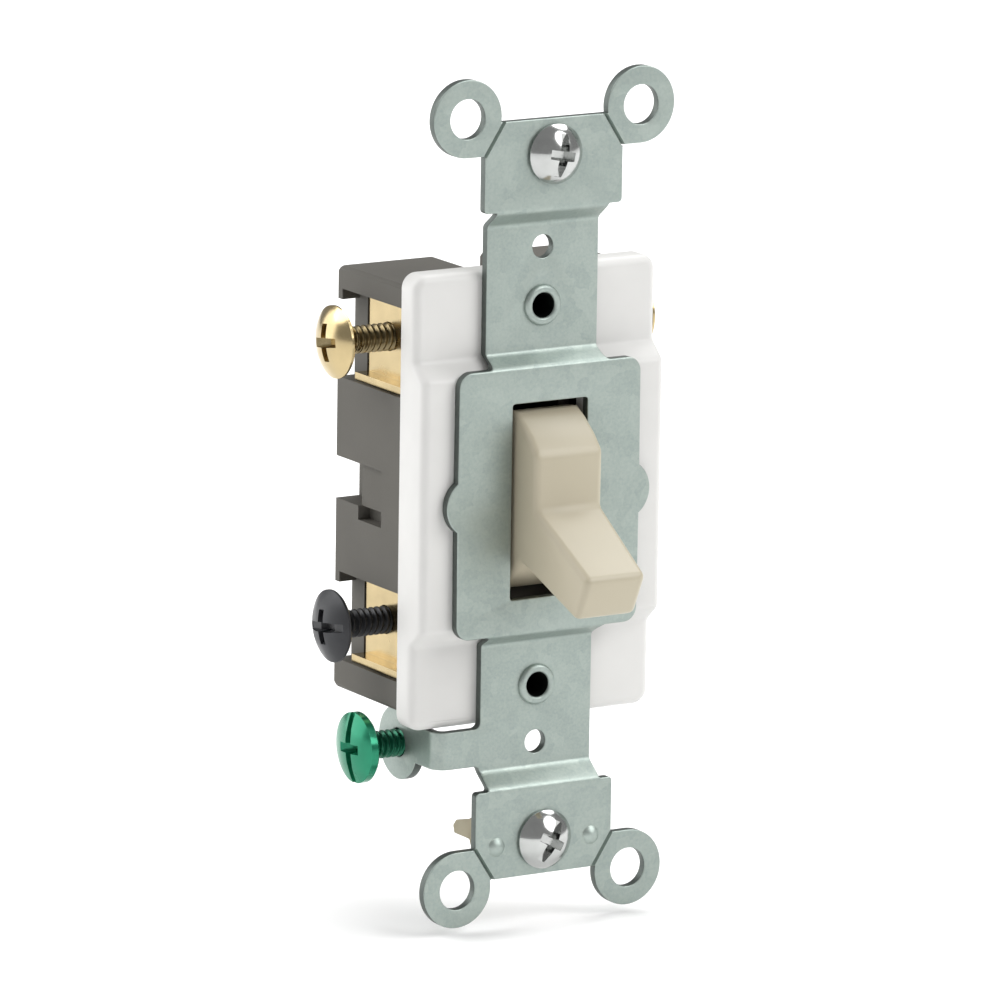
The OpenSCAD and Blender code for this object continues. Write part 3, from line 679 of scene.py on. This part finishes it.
def strap_outline(centre):
    """Right side from the middle of the top edge round to the middle of the bottom, then mirrored."""
    neck, side, half = 6.97, 9.5, 7.7
    relief = EAR_BEND + 0.5

    def quarter():
        points = [(0.0, EAR_TOP), (neck, EAR_TOP)]
        points += arc(EAR_X, EAR_Z, EAR_R, 188.7, -90, 56)
        points += [(side, 42.0)] + arc(side - 0.5, relief + 0.5, 0.5, 0, -90, 5)
        points += arc(half + 0.3, relief - 0.3, 0.3, 90, 180, 4)
        points += [(half, 18.9)]
        points += arc(half + 0.7, 16.9, 0.7, 180, 270, 6)
        points += arc(PLATFORM_HALF - PLATFORM_ROUND, PLATFORM_END - PLATFORM_ROUND, PLATFORM_ROUND,
                      90, 0, 10)
        bulge = math.degrees(math.asin(BULGE_HALF / BULGE_R))
        points += arc(BULGE_X, 0, BULGE_R, bulge, 0, 10)
        return points

    upper = quarter()
    lower = [(x, -z) for x, z in reversed(upper)][1:]
    right = upper + lower
    left = [(-x, z) for x, z in reversed(right)][1:-1]
    # the ground tab leaves the left side of the lower recess, flat until it is bent
    tab = [(-half, TAB_BOTTOM - 0.8)] + arc(-half - 0.8, TAB_BOTTOM - 0.8, 0.8, 0, 90, 5)
    high = math.degrees(math.asin((TAB_TOP - GROUND_Z) / GROUND_PAD))
    low = math.degrees(math.asin((GROUND_Z - TAB_BOTTOM) / GROUND_PAD))
    tab += [(p[0], p[1]) for p in arc(centre, GROUND_Z, GROUND_PAD, -low, -360 + high, 48)]
    tab += arc(-half - 0.8, TAB_TOP + 0.8, 0.8, -90, 0, 5)
    out = []
    placed = False
    for a, b in zip(left, left[1:] + [right[0]]):
        out.append(a)
        on_edge = abs(a[0] + half) < 0.01 and abs(b[0] + half) < 0.01
        if not placed and on_edge and a[1] < TAB_BOTTOM - 0.9 + 0.01 < b[1]:
            out += tab
            placed = True
    if not placed:
        raise RuntimeError("the ground tab found no place on the strap's outline")
    return right + out


def strap_holes(centre):
    def slot(z):
        return arc(1.2, z, 2.1, -90, 90, 14) + arc(-1.2, z, 2.1, 90, 270, 14)

    holes = [circle(sx * EAR_X, sz * EAR_Z, 2.4, 40) for sx in (-1, 1) for sz in (-1, 1)]
    holes += [circle(0, sz * PLATE_HOLE_Z, 1.42, 36) for sz in (-1, 1)]
    holes += [circle(0, sz * EYELET_Z, 1.95, 36) for sz in (-1, 1)]
    holes += [slot(sz * BOX_SCREW_Z) for sz in (-1, 1)]
    corner = 0.35
    window = []
    for sx, sz, first in ((1, 1, 0), (-1, 1, 90), (-1, -1, 180), (1, -1, 270)):
        window += arc(sx * (5.2 - corner), sz * (11.9 - corner), corner, first, first + 90, 4)
    return holes + [window, circle(centre, GROUND_Z, 1.75, 36)]


def bend_tab(bm, sheet, radius):
    """Bends the flat ground tab back through a right angle about a vertical line."""
    inner = radius
    middle = inner + sheet / 2
    line = bend_line(sheet, inner)
    for v in bm.verts:
        x, y, z = v.co.x / MM, v.co.y / MM, v.co.z / MM
        if x > line or not (TAB_BOTTOM - 3 < z < TAB_TOP + 3):
            continue
        run = line - x
        out = RECESS_REAR - y
        turn = min(run / middle, math.pi / 2)
        rest = max(0.0, run - middle * math.pi / 2)
        r = inner + out
        nx = line - r * math.sin(turn) - rest * math.cos(turn)
        ny = RECESS_REAR + inner - r * math.cos(turn) + rest * math.sin(turn)
        v.co = Vector((nx, ny, z)) * MM


def score_cutter():
    """Wedge-shaped grooves across the necks of the four ears."""
    bm = bmesh.new()
    for sx in (-1, 1):
        for sz in (-1, 1):
            a, b = Vector((6.97, 0, 45.95)), Vector((9.5, 0, 42.0))
            middle = (a + b) / 2
            along = (b - a).normalized()
            across = Vector((along.z, 0, -along.x))
            half = (b - a).length / 2 + 0.1
            rows = []
            for s in (-half, half):
                rows.append([bm.verts.new(Vector((sx * p.x, p.y, sz * p.z)) * MM) for p in (
                    middle + along * s + across * 0.34 + Vector((0, -1.4, 0)),
                    middle + along * s - across * 0.34 + Vector((0, -1.4, 0)),
                    middle + along * s + Vector((0, -0.72, 0)))])
            bm.faces.new(rows[0])
            bm.faces.new(rows[1][::-1])
            for i in range(3):
                j = (i + 1) % 3
                bm.faces.new((rows[0][i], rows[1][i], rows[1][j], rows[0][j]))
    return object_of("score_cutter", mesh_from(bm, "score_cutter"))


class SWITCH_OT_strap(bpy.types.Operator):
    """Press the mounting strap: outline, rounded edges, joggled bends, bent ground tab and scored ears"""

    bl_idname = "switch.strap"
    bl_label = "Mounting strap"

    def execute(self, context):
        sizes = context.scene.switch_sizes
        sheet, edge = sizes.sheet / MM, sizes.sheet_edge / MM
        bend = sizes.bend / MM
        centre = tab_centre(sheet, bend)
        bm = plate("mounting_strap", strap_outline(centre), strap_holes(centre), sheet, edge)
        bmesh.ops.translate(bm, verts=bm.verts, vec=(0, -sheet * MM, 0))
        cuts = [s * (a + (b - a) * i / 16) for a, b in STEP_ZONES for i in range(17)
                for s in (-1, 1)]
        slice_at(bm, cuts, 2)
        bm.normal_update()
        # the cut side faces take the darker edge finish: bare steel and painted shade along the strap's edges
        for face in bm.faces:
            face.material_index = 1 if abs(face.normal.y) < 0.5 else 0
        line = bend_line(sheet, bend)
        run = (bend + sheet / 2) * math.pi / 2
        slice_at(bm, [line - run * i / 10 for i in range(11)], 0)
        for v in bm.verts:
            x, z = v.co.x / MM, v.co.z / MM
            # the tab's pad reaches past the step below it and stays flat
            on_tab = x < line and abs(z - GROUND_Z) < GROUND_PAD + 0.3
            v.co.y += (RECESS_REAR if on_tab else strap_depth(z)) * MM
        bend_tab(bm, sheet, bend)
        obj = object_of("mounting_strap_sheet", mesh_from(bm, "mounting_strap_sheet", 28))
        for key in ("zinc", "sheared"):
            obj.data.materials.append(finish_of(key))
        boolean(obj, score_cutter())
        smooth(obj.data, 28)
        dress(obj, ("zinc", "sheared"), "housing", "zinc", "mounting_strap")
        return {"FINISHED"}


# ---------------------------------------------------------------- white frame and grey body


def frame_front(z):
    """Y of the frame's front face: proud behind the platform, set back at the two ends."""
    return 0.02 + 2.28 * step_shift(abs(z), 15.2, 17.2, 0.9)


class SWITCH_OT_frame(bpy.types.Operator):
    """Mould the white front frame with soft front edges and its proud middle"""

    bl_idname = "switch.frame"
    bl_label = "Front frame"

    def execute(self, context):
        rounding = context.scene.switch_sizes.frame_round / MM
        half_w, half_h, corner = FRAME_HALF_W, FRAME_HALF_H, FRAME_CORNER
        outline = []
        for sx, sz, first in ((1, 1, 0), (-1, 1, 90), (-1, -1, 180), (1, -1, 270)):
            outline += arc(sx * (half_w - corner), sz * (half_h - corner), corner, first, first + 90, 8)
        holes = [circle(0, sz * EYELET_Z, EYELET_HOLE + rounding, 36) for sz in (-1, 1)]
        bm = plate("front_frame", outline, holes, FRAME_BLANK, rounding, 5)
        cuts = [s * (14.2 + 4.0 * i / 16) for i in range(17) for s in (-1, 1)]
        slice_at(bm, cuts, 2)
        for v in bm.verts:
            y = v.co.y / MM
            if y > 3.5:
                # the rear edges stay crisp: squeeze their rounding flat against the body
                v.co.y = (FRAME_REAR - (FRAME_BLANK - y) * 0.25) * MM
            else:
                v.co.y = (y + frame_front(v.co.z / MM)) * MM
        obj = object_of("front_frame_shell", mesh_from(bm, "front_frame_shell", 40))
        for name, half_x, front, half_z in FRAME_OPENINGS:
            cut = bmesh.new()
            box_mesh(cut, Vector((-half_x, front, -half_z)) * MM,
                     Vector((half_x, FRAME_CUT_REAR, half_z)) * MM)
            boolean(obj, object_of(name, mesh_from(cut, name)))
        smooth(obj.data, 40)
        dress(obj, "white", "housing", "white_plastic", "front_frame")
        seats = bmesh.new()
        for sx in (-1, 1):
            profile = [(SEAT_FRONT, -SEAT_HALF), (SEAT_REAR, -SEAT_HALF), (SEAT_REAR, -SEAT_BORE)]
            profile += arc(SEAT_PIVOT, 0, SEAT_BORE, 270, 90, 16)
            profile += [(SEAT_REAR, SEAT_BORE), (SEAT_REAR, SEAT_HALF), (SEAT_FRONT, SEAT_HALF)]
            prism(seats, profile, *sorted((sx * SEAT_INNER, sx * SEAT_OUTER)))
        cradle = object_of("trunnion_seats", mesh_from(seats, "trunnion_seats"))
        dress(cradle, "white", "housing", "white_plastic")
        return {"FINISHED"}


class SWITCH_OT_body(bpy.types.Operator):
    """Finish the grey rear body with softened moulded edges"""

    bl_idname = "switch.body"
    bl_label = "Rear body"

    def execute(self, context):
        soften(finish_node("rear_body", "grey"), context.scene.switch_sizes.body_edge, 2)
        return {"FINISHED"}


# ---------------------------------------------------------------- lever


def prism(bm, profile, x0, x1, place=None):
    """A side profile of (y, z) in millimetres, drawn from x0 to x1."""
    sides = []
    for x in (x0, x1):
        points = [Vector((x, y, z)) * MM for y, z in profile]
        if place:
            points = [place(p) for p in points]
        sides.append([bm.verts.new(p) for p in points])
    bm.faces.new(sides[0][::-1])
    bm.faces.new(sides[1])
    for i in range(len(profile)):
        j = (i + 1) % len(profile)
        bm.faces.new((sides[0][i], sides[0][j], sides[1][j], sides[1][i]))
    return sides


def lever_half_width(forward):
    start, end = LEVER_TAPER
    t = min(1.0, max(0.0, (forward - start) / (end - start)))
    root, tip = LEVER_HALF_WIDTHS
    return root + (tip - root) * t


class SWITCH_OT_lever(bpy.types.Operator):
    """Mould the almond lever with its stepped collar, soft edges, trunnions and cam"""

    bl_idname = "switch.lever"
    bl_label = "Lever"

    def execute(self, context):
        rounding = context.scene.switch_sizes.lever_round
        apex = -CAM_FACE / math.cos(LEVER_REST + ROCKER_TILT)
        profile = LEVER_OUTLINE + [(apex, 0.0)] + [(a, -b) for a, b in reversed(LEVER_OUTLINE)]
        bm = bmesh.new()
        sides = []
        for s in (-1, 1):
            sides.append([bm.verts.new(Vector((s * lever_half_width(a), -a, b)) * MM) for a, b in profile])
        left, right = bm.faces.new(sides[0][::-1]), bm.faces.new(sides[1])
        for i in range(len(profile)):
            j = (i + 1) % len(profile)
            bm.faces.new((sides[0][i], sides[0][j], sides[1][j], sides[1][i]))
        bmesh.ops.recalc_face_normals(bm, faces=bm.faces)
        edges = [e for e in bm.edges if e.calc_face_angle(0) > math.radians(12)
                 and min(-v.co.y for v in e.verts) > -1.8 * MM]
        bmesh.ops.bevel(bm, geom=edges, offset=rounding, segments=5, profile=0.5, affect="EDGES",
                        clamp_overlap=True)
        obj = object_of("toggle_lever", mesh_from(bm, "toggle_lever", 34))
        pins = bmesh.new()
        turn = Matrix.Rotation(math.radians(90), 4, "Y")
        outline = [(r * MM, -x * MM) for r, x in TRUNNION] + [(r * MM, x * MM) for r, x in reversed(TRUNNION)]
        lathe(pins, outline, 48, turn)
        boolean(obj, object_of("pins", mesh_from(pins, "pins")), "UNION")
        boolean(obj, self.slot_cutter())
        obj.data.transform(Matrix.Translation(PIVOT * MM) @ Matrix.Rotation(LEVER_REST, 4, "X"))
        smooth(obj.data, 34)
        dress(obj, "almond", "lever", "almond_plastic", "toggle")
        return {"FINISHED"}

    def slot_cutter(self):
        """Flared slot in the cam for the rocker's post."""
        cup, r = 2.95, 0.97
        flare = LEVER_REST + ROCKER_TILT + math.radians(2.5)
        bm = bmesh.new()
        corner = (cup - r * math.sin(flare), r * math.cos(flare))
        far = (corner[0] + 6 * math.cos(flare), corner[1] + 6 * math.sin(flare))
        round_end = [(2.4 - r * math.cos(math.radians(t)), r * math.sin(math.radians(t)))
                     for t in range(-90, 91, 15)]
        profile = round_end + [(corner[0], r), corner, far, (far[0], -far[1]), (corner[0], -corner[1]),
                               (corner[0], -r)]
        prism(bm, profile, -r, r)
        return object_of("slot_cutter", mesh_from(bm, "slot_cutter"))


# ---------------------------------------------------------------- screws


def threaded_shank(bm, length, radius, pitch, depth, steps=40, per_turn=12):
    """Shank along -Z with a rolled thread, a smooth neck under the head and a pointed end."""
    rows = int(length / pitch * per_turn)
    rings = []
    for k in range(rows + 1):
        z = -length * k / rows
        ring = []
        for i in range(steps):
            turn = math.tau * i / steps
            phase = (z / pitch + i / steps) % 1.0
            ridge = 1 - abs(2 * phase - 1)
            cut = depth * (1 - min(1.0, max(0.0, (ridge - 0.12) / 0.62)))
            neck = min(1.0, max(0.0, (-z - 0.5 * pitch) / (0.8 * pitch)))
            end = min(1.0, max(0.0, (length + z) / (0.9 * pitch)))
            r = (radius - cut * neck) * (0.74 + 0.26 * end)
            ring.append(bm.verts.new((r * math.cos(turn), r * math.sin(turn), z)))
        rings.append(ring)
    for a, b in zip(rings, rings[1:]):
        for i in range(steps):
            j = (i + 1) % steps
            bm.faces.new((a[i], b[i], b[j], a[j]))
    bm.faces.new(rings[0])
    bm.faces.new(rings[-1][::-1])


def head_profile(head_d, rim, dome):
    """Screw head, from the underside out and over the dome, in metres."""
    r = head_d / 2
    edge = min(rim * 0.45, 0.0003)
    points = [(0, -0.00005), (r - edge, 0), (r, edge), (r, rim - edge * 0.4)]
    cap = (r * r + dome * dome) / (2 * dome)
    centre = rim + dome - cap
    start = math.asin(min(1.0, r / cap))
    points += [(cap * math.sin(start * (1 - i / 12)), centre + cap * math.cos(start * (1 - i / 12)))
               for i in range(13)]
    points[-1] = (0, points[-1][1])
    return points


def drive_cutter(top, head_d, cross, slot, turn):
    """Tapered cross, and a straight slot if it has one, cut down from height top.

    cross and slot are half lengths as parts of the head's diameter."""
    bm = bmesh.new()
    reach, width, deep = head_d * cross, 0.00066, 0.0018
    taper = 0.42
    for angle in (0, 90):
        m = Matrix.Rotation(math.radians(angle), 4, "Z")
        rows = []
        for k, w, z in ((1.0, width, top + 0.0006), (taper, width * 0.6, top - deep)):
            corners = ((-reach * k, -w), (reach * k, -w), (reach * k, w), (-reach * k, w))
            rows.append([bm.verts.new(m @ Vector((x, y, z))) for x, y in corners])
        bm.faces.new(rows[0])
        bm.faces.new(rows[1][::-1])
        for i in range(4):
            j = (i + 1) % 4
            bm.faces.new((rows[0][i], rows[1][i], rows[1][j], rows[0][j]))
    if slot:
        half, thin, shallow = head_d * slot, 0.0005, 0.0011
        box_mesh(bm, (-half, -thin, top - shallow), (half, thin, top + 0.001))
    bmesh.ops.rotate(bm, verts=bm.verts, cent=(0, 0, 0), matrix=Matrix.Rotation(turn, 3, "Z"))
    return object_of("drive_cutter", mesh_from(bm, "drive_cutter"))


def screw_piece(name, head_d, rim, dome, length, place, turn, cross, slot):
    """A whole number six screw at its place: head, drive recess and threaded shank."""
    sizes = bpy.context.scene.switch_sizes
    bm = bmesh.new()
    lathe(bm, head_profile(head_d, rim, dome), 64)
    head = object_of(name, mesh_from(bm, name, 30))
    boolean(head, drive_cutter(rim + dome, head_d, cross, slot, turn))
    bm = bmesh.new()
    bm.from_mesh(head.data)
    threaded_shank(bm, length, SHANK_R, sizes.thread_pitch, sizes.thread_depth)
    old = head.data
    # faces of the shank take the second finish, a darker copy of the head's: painted shade
    for face in bm.faces:
        face.material_index = 1 if face.calc_center_median().z < -THREAD_START else 0
    head.data = mesh_from(bm, name, 30)
    bpy.data.meshes.remove(old)
    head.data.transform(place)
    return head


def side_place(sx, x, y, z):
    """Turns a screw that is drawn along Z so that its head faces out to one side."""
    return Matrix.Translation(Vector((x, y, z)) * MM) @ Matrix.Rotation(sx * math.radians(90), 4, "Y")


class SWITCH_OT_terminal_screws(bpy.types.Operator):
    """Make the brass and black wiring screws, backed out of their clamp plates"""

    bl_idname = "switch.terminal_screws"
    bl_label = "Wiring screws"

    def execute(self, context):
        rows = (("left_traveller", -1, UPPER_SCREW_Z, "brass", "brass_screw", 8, 0.34, 0.0),
                ("common", -1, LOWER_SCREW_Z, "black", "black_screw", 97, 0.31, 0.42),
                ("right_traveller", 1, UPPER_SCREW_Z, "brass", "brass_screw", 35, 0.34, 0.0))
        for body, sx, z, key, slot, turn, cross, groove in rows:
            place = side_place(sx, sx * WIRING_HEAD_X, WIRING_Y, z)
            obj = screw_piece(body + "_screw_threaded", *WIRING_SCREW, place,
                              math.radians(turn), cross, groove)
            dress(obj, (key, key + "_thread"), body, slot, body + "_screw")
        return {"FINISHED"}


class SWITCH_OT_ground_screw(bpy.types.Operator):
    """Make the green ground screw in the strap's bent tab"""

    bl_idname = "switch.ground_screw"
    bl_label = "Ground screw"

    def execute(self, context):
        place = side_place(-1, -GROUND_HEAD_X, GROUND_Y, GROUND_Z)
        obj = screw_piece("ground_screw_threaded", *GROUND_SCREW, place, math.radians(4), 0.30, 0.6)
        dress(obj, ("green", "green_thread"), "ground", "green_screw", "ground_screw")
        return {"FINISHED"}


class SWITCH_OT_box_screws(bpy.types.Operator):
    """Make the two bright box screws with combination heads"""

    bl_idname = "switch.box_screws"
    bl_label = "Box screws"

    def execute(self, context):
        for body, sz, turn in (("top", 1, 80), ("bottom", -1, 62)):
            place = Matrix.Translation(Vector((0, STRAP_FRONT, sz * BOX_SCREW_Z)) * MM) @ \
                Matrix.Rotation(math.radians(90), 4, "X")
            obj = screw_piece(body + "_mounting_screw_threaded", *BOX_SCREW, place,
                              math.radians(turn), 0.30, 0.36)
            dress(obj, ("bright", "bright_thread"), body + "_box_screw", "bright_zinc",
                  body + "_mounting_screw")
        return {"FINISHED"}


# ---------------------------------------------------------------- small metal pieces


class SWITCH_OT_eyelets(bpy.types.Operator):
    """Roll the two tubular rivets that hold strap, frame and body together"""

    bl_idname = "switch.eyelets"
    bl_label = "Eyelets"

    def execute(self, context):
        for name, sz in (("upper", 1), ("lower", -1)):
            # radius and height in front of the ears' rear face
            profile = [(0, -EYELET_FLOOR), (EYELET_BORE, -EYELET_FLOOR)]
            profile += arc(EYELET_BORE + 0.35, -0.95, 0.35, 180, 90, 6)
            profile += arc(EYELET_LIP - 0.5, -1.1, 0.5, 90, 0, 8)
            profile += [(EYELET_R, -1.1), (EYELET_R, -FLANGE_REAR), (EYELET_FLARE, -FLANGE_REAR)]
            profile += [(EYELET_FLARE, -FLANGE_REAR - 0.35), (EYELET_FLARE - 0.15, -FLANGE_REAR - 0.5)]
            profile += [(0, -FLANGE_REAR - 0.5)]
            bm = bmesh.new()
            place = Matrix.Translation((0, 0, sz * EYELET_Z * MM)) @ Matrix.Rotation(math.radians(90), 4, "X")
            lathe(bm, [(r * MM, z * MM) for r, z in profile], 48, place)
            # faces inside the bore, down to its floor, take the near-black second finish: painted shade
            for face in bm.faces:
                middle = face.calc_center_median()
                inside = math.hypot(middle.x, middle.z - sz * EYELET_Z * MM) < (EYELET_BORE + 0.02) * MM
                face.material_index = 1 if inside and middle.y < (EYELET_FLOOR + 0.1) * MM else 0
            obj = object_of(name + "_eyelet_rolled", mesh_from(bm, name + "_eyelet_rolled", 40))
            dress(obj, ("zinc", "bore"), "housing", "bright_zinc", name + "_eyelet")
        return {"FINISHED"}


class SWITCH_OT_spring(bpy.types.Operator):
    """Wind the drive spring round the rocker's post"""

    bl_idname = "switch.spring"
    bl_label = "Drive spring"

    def execute(self, context):
        first, last, turns, wire, coil = 1.62, 7.98, 8.5, 0.3, 1.75
        around, along = 10, 24
        count = int(turns * along)
        bm = bmesh.new()
        rings = []
        for k in range(count + 1):
            t = k / count
            flat = min(t, 1 - t) * turns
            ease = 0.75 / turns
            grow = min(1.0, max(0.0, (t - ease) / (1 - 2 * ease)))
            angle = math.tau * turns * t
            centre = Vector((coil * math.cos(angle), -(first + (last - first) * grow),
                             coil * math.sin(angle)))
            outward = Vector((math.cos(angle), 0, math.sin(angle)))
            up = Vector((0, -1, 0))
            ring = []
            for i in range(around):
                a = math.tau * i / around
                squash = 1.0 if flat > 0.4 else 0.92
                around_wire = (outward * math.cos(a) + up * math.sin(a) * squash) * wire
                ring.append(bm.verts.new((centre + around_wire) * MM))
            rings.append(ring)
        for a, b in zip(rings, rings[1:]):
            for i in range(around):
                j = (i + 1) % around
                bm.faces.new((a[i], a[j], b[j], b[i]))
        bm.faces.new(rings[0][::-1])
        bm.faces.new(rings[-1])
        tilted = Matrix.Translation(ROCKER_PIVOT * MM) @ Matrix.Rotation(-ROCKER_TILT, 4, "X")
        bmesh.ops.transform(bm, verts=bm.verts, matrix=tilted)
        obj = object_of("drive_spring_coil", mesh_from(bm, "drive_spring_coil", 50))
        dress(obj, "wire", "rocker", "spring_steel", "drive_spring")
        return {"FINISHED"}


class SWITCH_OT_contacts(bpy.types.Operator):
    """Finish the terminals, the rocker and the silver contacts"""

    bl_idname = "switch.contacts"
    bl_label = "Terminals and contacts"

    def execute(self, context):
        for name in ("common_terminal", "left_traveller_terminal", "right_traveller_terminal"):
            soften(finish_node(name, "brass_plate"), 0.08 * MM, 2)
        finish_node("contact_rocker", "brass_plate")
        for name in ("upper_moving_contact", "lower_moving_contact",
                     "upper_fixed_contact", "lower_fixed_contact"):
            finish_node(name, "silver")
        return {"FINISHED"}


class SWITCH_OT_clip(bpy.types.Operator):
    """Finish the grounding clip, its stakes and the fibre retainers"""

    bl_idname = "switch.clip"
    bl_label = "Clip and retainers"

    def execute(self, context):
        soften(finish_node("grounding_clip", "bronze"), 0.07 * MM, 2)
        finish_node("clip_stakes", "stake")
        for name in ("top_screw_retainer", "bottom_screw_retainer"):
            soften(finish_node(name, "fibre"), 0.06 * MM, 1)
        return {"FINISHED"}


# ---------------------------------------------------------------- stage


class SWITCH_OT_stage(bpy.types.Operator):
    """Set the floor, the soft lights and the camera"""

    bl_idname = "switch.stage"
    bl_label = "Stage"

    def execute(self, context):
        stage = context.scene.switch_stage
        low = CAD_BOX[0]
        half = stage.floor_size / 2
        mesh = bpy.data.meshes.new("pale_floor")
        z = low.z - stage.floor_drop
        corners = [(-half, -half, z), (half, -half, z), (half, half, z), (-half, half, z)]
        mesh.from_pydata(corners, [], [(0, 1, 2, 3)])
        floor = object_of("pale_floor", mesh)
        mesh.materials.append(self.floor_finish())
        self.world(context, stage.sky)
        self.lamp("Key", stage.key_from, stage.key, stage.softness)
        self.lamp("Rim", stage.rim_from, stage.rim, stage.softness)
        self.soft_box("Soft box", stage.box_place, stage.box_size, stage.box_power)
        self.soft_box("Side box", stage.side_place, stage.box_size, stage.side_power)
        camera = bpy.data.objects.new("Camera", bpy.data.cameras.new("Camera"))
        context.scene.collection.objects.link(camera)
        camera.data.sensor_width, camera.data.lens = 36.0, stage.lens
        camera.data.clip_start, camera.data.clip_end = 0.05, 40.0
        camera.location = stage.camera_place
        camera.rotation_euler = Euler(stage.camera_turn, "XYZ")
        context.scene.camera = camera
        context.scene.view_settings.view_transform = "Standard"
        return {"FINISHED"}

    def floor_finish(self):
        material = bpy.data.materials.new("Pale floor")
        material.use_nodes = True
        shader = material.node_tree.nodes["Principled BSDF"]
        shader.inputs["Base Color"].default_value = (0.98, 0.98, 0.98, 1)
        shader.inputs["Roughness"].default_value = 0.9
        shader.inputs["Specular IOR Level"].default_value = 0.1
        return material

    def world(self, context, strength):
        world = bpy.data.worlds.new("Studio")
        world.use_nodes = True
        world.node_tree.nodes["Background"].inputs["Color"].default_value = (1, 1, 1, 1)
        world.node_tree.nodes["Background"].inputs["Strength"].default_value = strength
        context.scene.world = world

    def soft_box(self, name, place, size, power):
        """Broad lamp that the bends and screw heads mirror."""
        data = bpy.data.lights.new(name, "AREA")
        data.shape, data.size, data.energy = "DISK", size, power
        obj = bpy.data.objects.new(name, data)
        bpy.context.scene.collection.objects.link(obj)
        obj.location = place
        obj.rotation_euler = (-Vector(place)).to_track_quat("-Z", "Y").to_euler()

    def lamp(self, name, come_from, strength, softness):
        """A broad soft light from far away."""
        data = bpy.data.lights.new(name, "SUN")
        data.energy, data.angle = strength, softness
        obj = bpy.data.objects.new(name, data)
        bpy.context.scene.collection.objects.link(obj)
        obj.location = Vector(come_from)
        obj.rotation_euler = (-Vector(come_from)).to_track_quat("-Z", "Y").to_euler()


# ---------------------------------------------------------------- panel and run


STEPS = (SWITCH_OT_strap, SWITCH_OT_frame, SWITCH_OT_body, SWITCH_OT_lever, SWITCH_OT_terminal_screws,
         SWITCH_OT_ground_screw, SWITCH_OT_box_screws, SWITCH_OT_eyelets, SWITCH_OT_spring,
         SWITCH_OT_contacts, SWITCH_OT_clip, SWITCH_OT_stage)


class SWITCH_PT_panel(bpy.types.Panel):
    """Lists the steps and the settings of the wall switch"""

    bl_idname = "SWITCH_PT_panel"
    bl_label = "Toggle wall switch"
    bl_space_type = "VIEW_3D"
    bl_region_type = "UI"
    bl_category = "Switch"

    def draw(self, context):
        for step in STEPS:
            self.layout.operator(step.bl_idname)
        for label in ("switch_sizes", "switch_colours", "switch_stage"):
            group = getattr(context.scene, label)
            box = self.layout.box()
            for key in group.__annotations__:
                box.prop(group, key)


def register():
    for cls in (*SETTINGS, *STEPS, SWITCH_PT_panel):
        bpy.utils.register_class(cls)
    bpy.types.Scene.switch_sizes = PointerProperty(type=SwitchSizes)
    bpy.types.Scene.switch_colours = PointerProperty(type=SwitchColours)
    bpy.types.Scene.switch_stage = PointerProperty(type=SwitchStage)


def unregister():
    del bpy.types.Scene.switch_stage, bpy.types.Scene.switch_colours, bpy.types.Scene.switch_sizes
    for cls in reversed((*SETTINGS, *STEPS, SWITCH_PT_panel)):
        bpy.utils.unregister_class(cls)


def main():
    register()
    for step in STEPS:
        group, name = step.bl_idname.split(".")
        getattr(getattr(bpy.ops, group), name)()


if __name__ == "__main__":
    main()
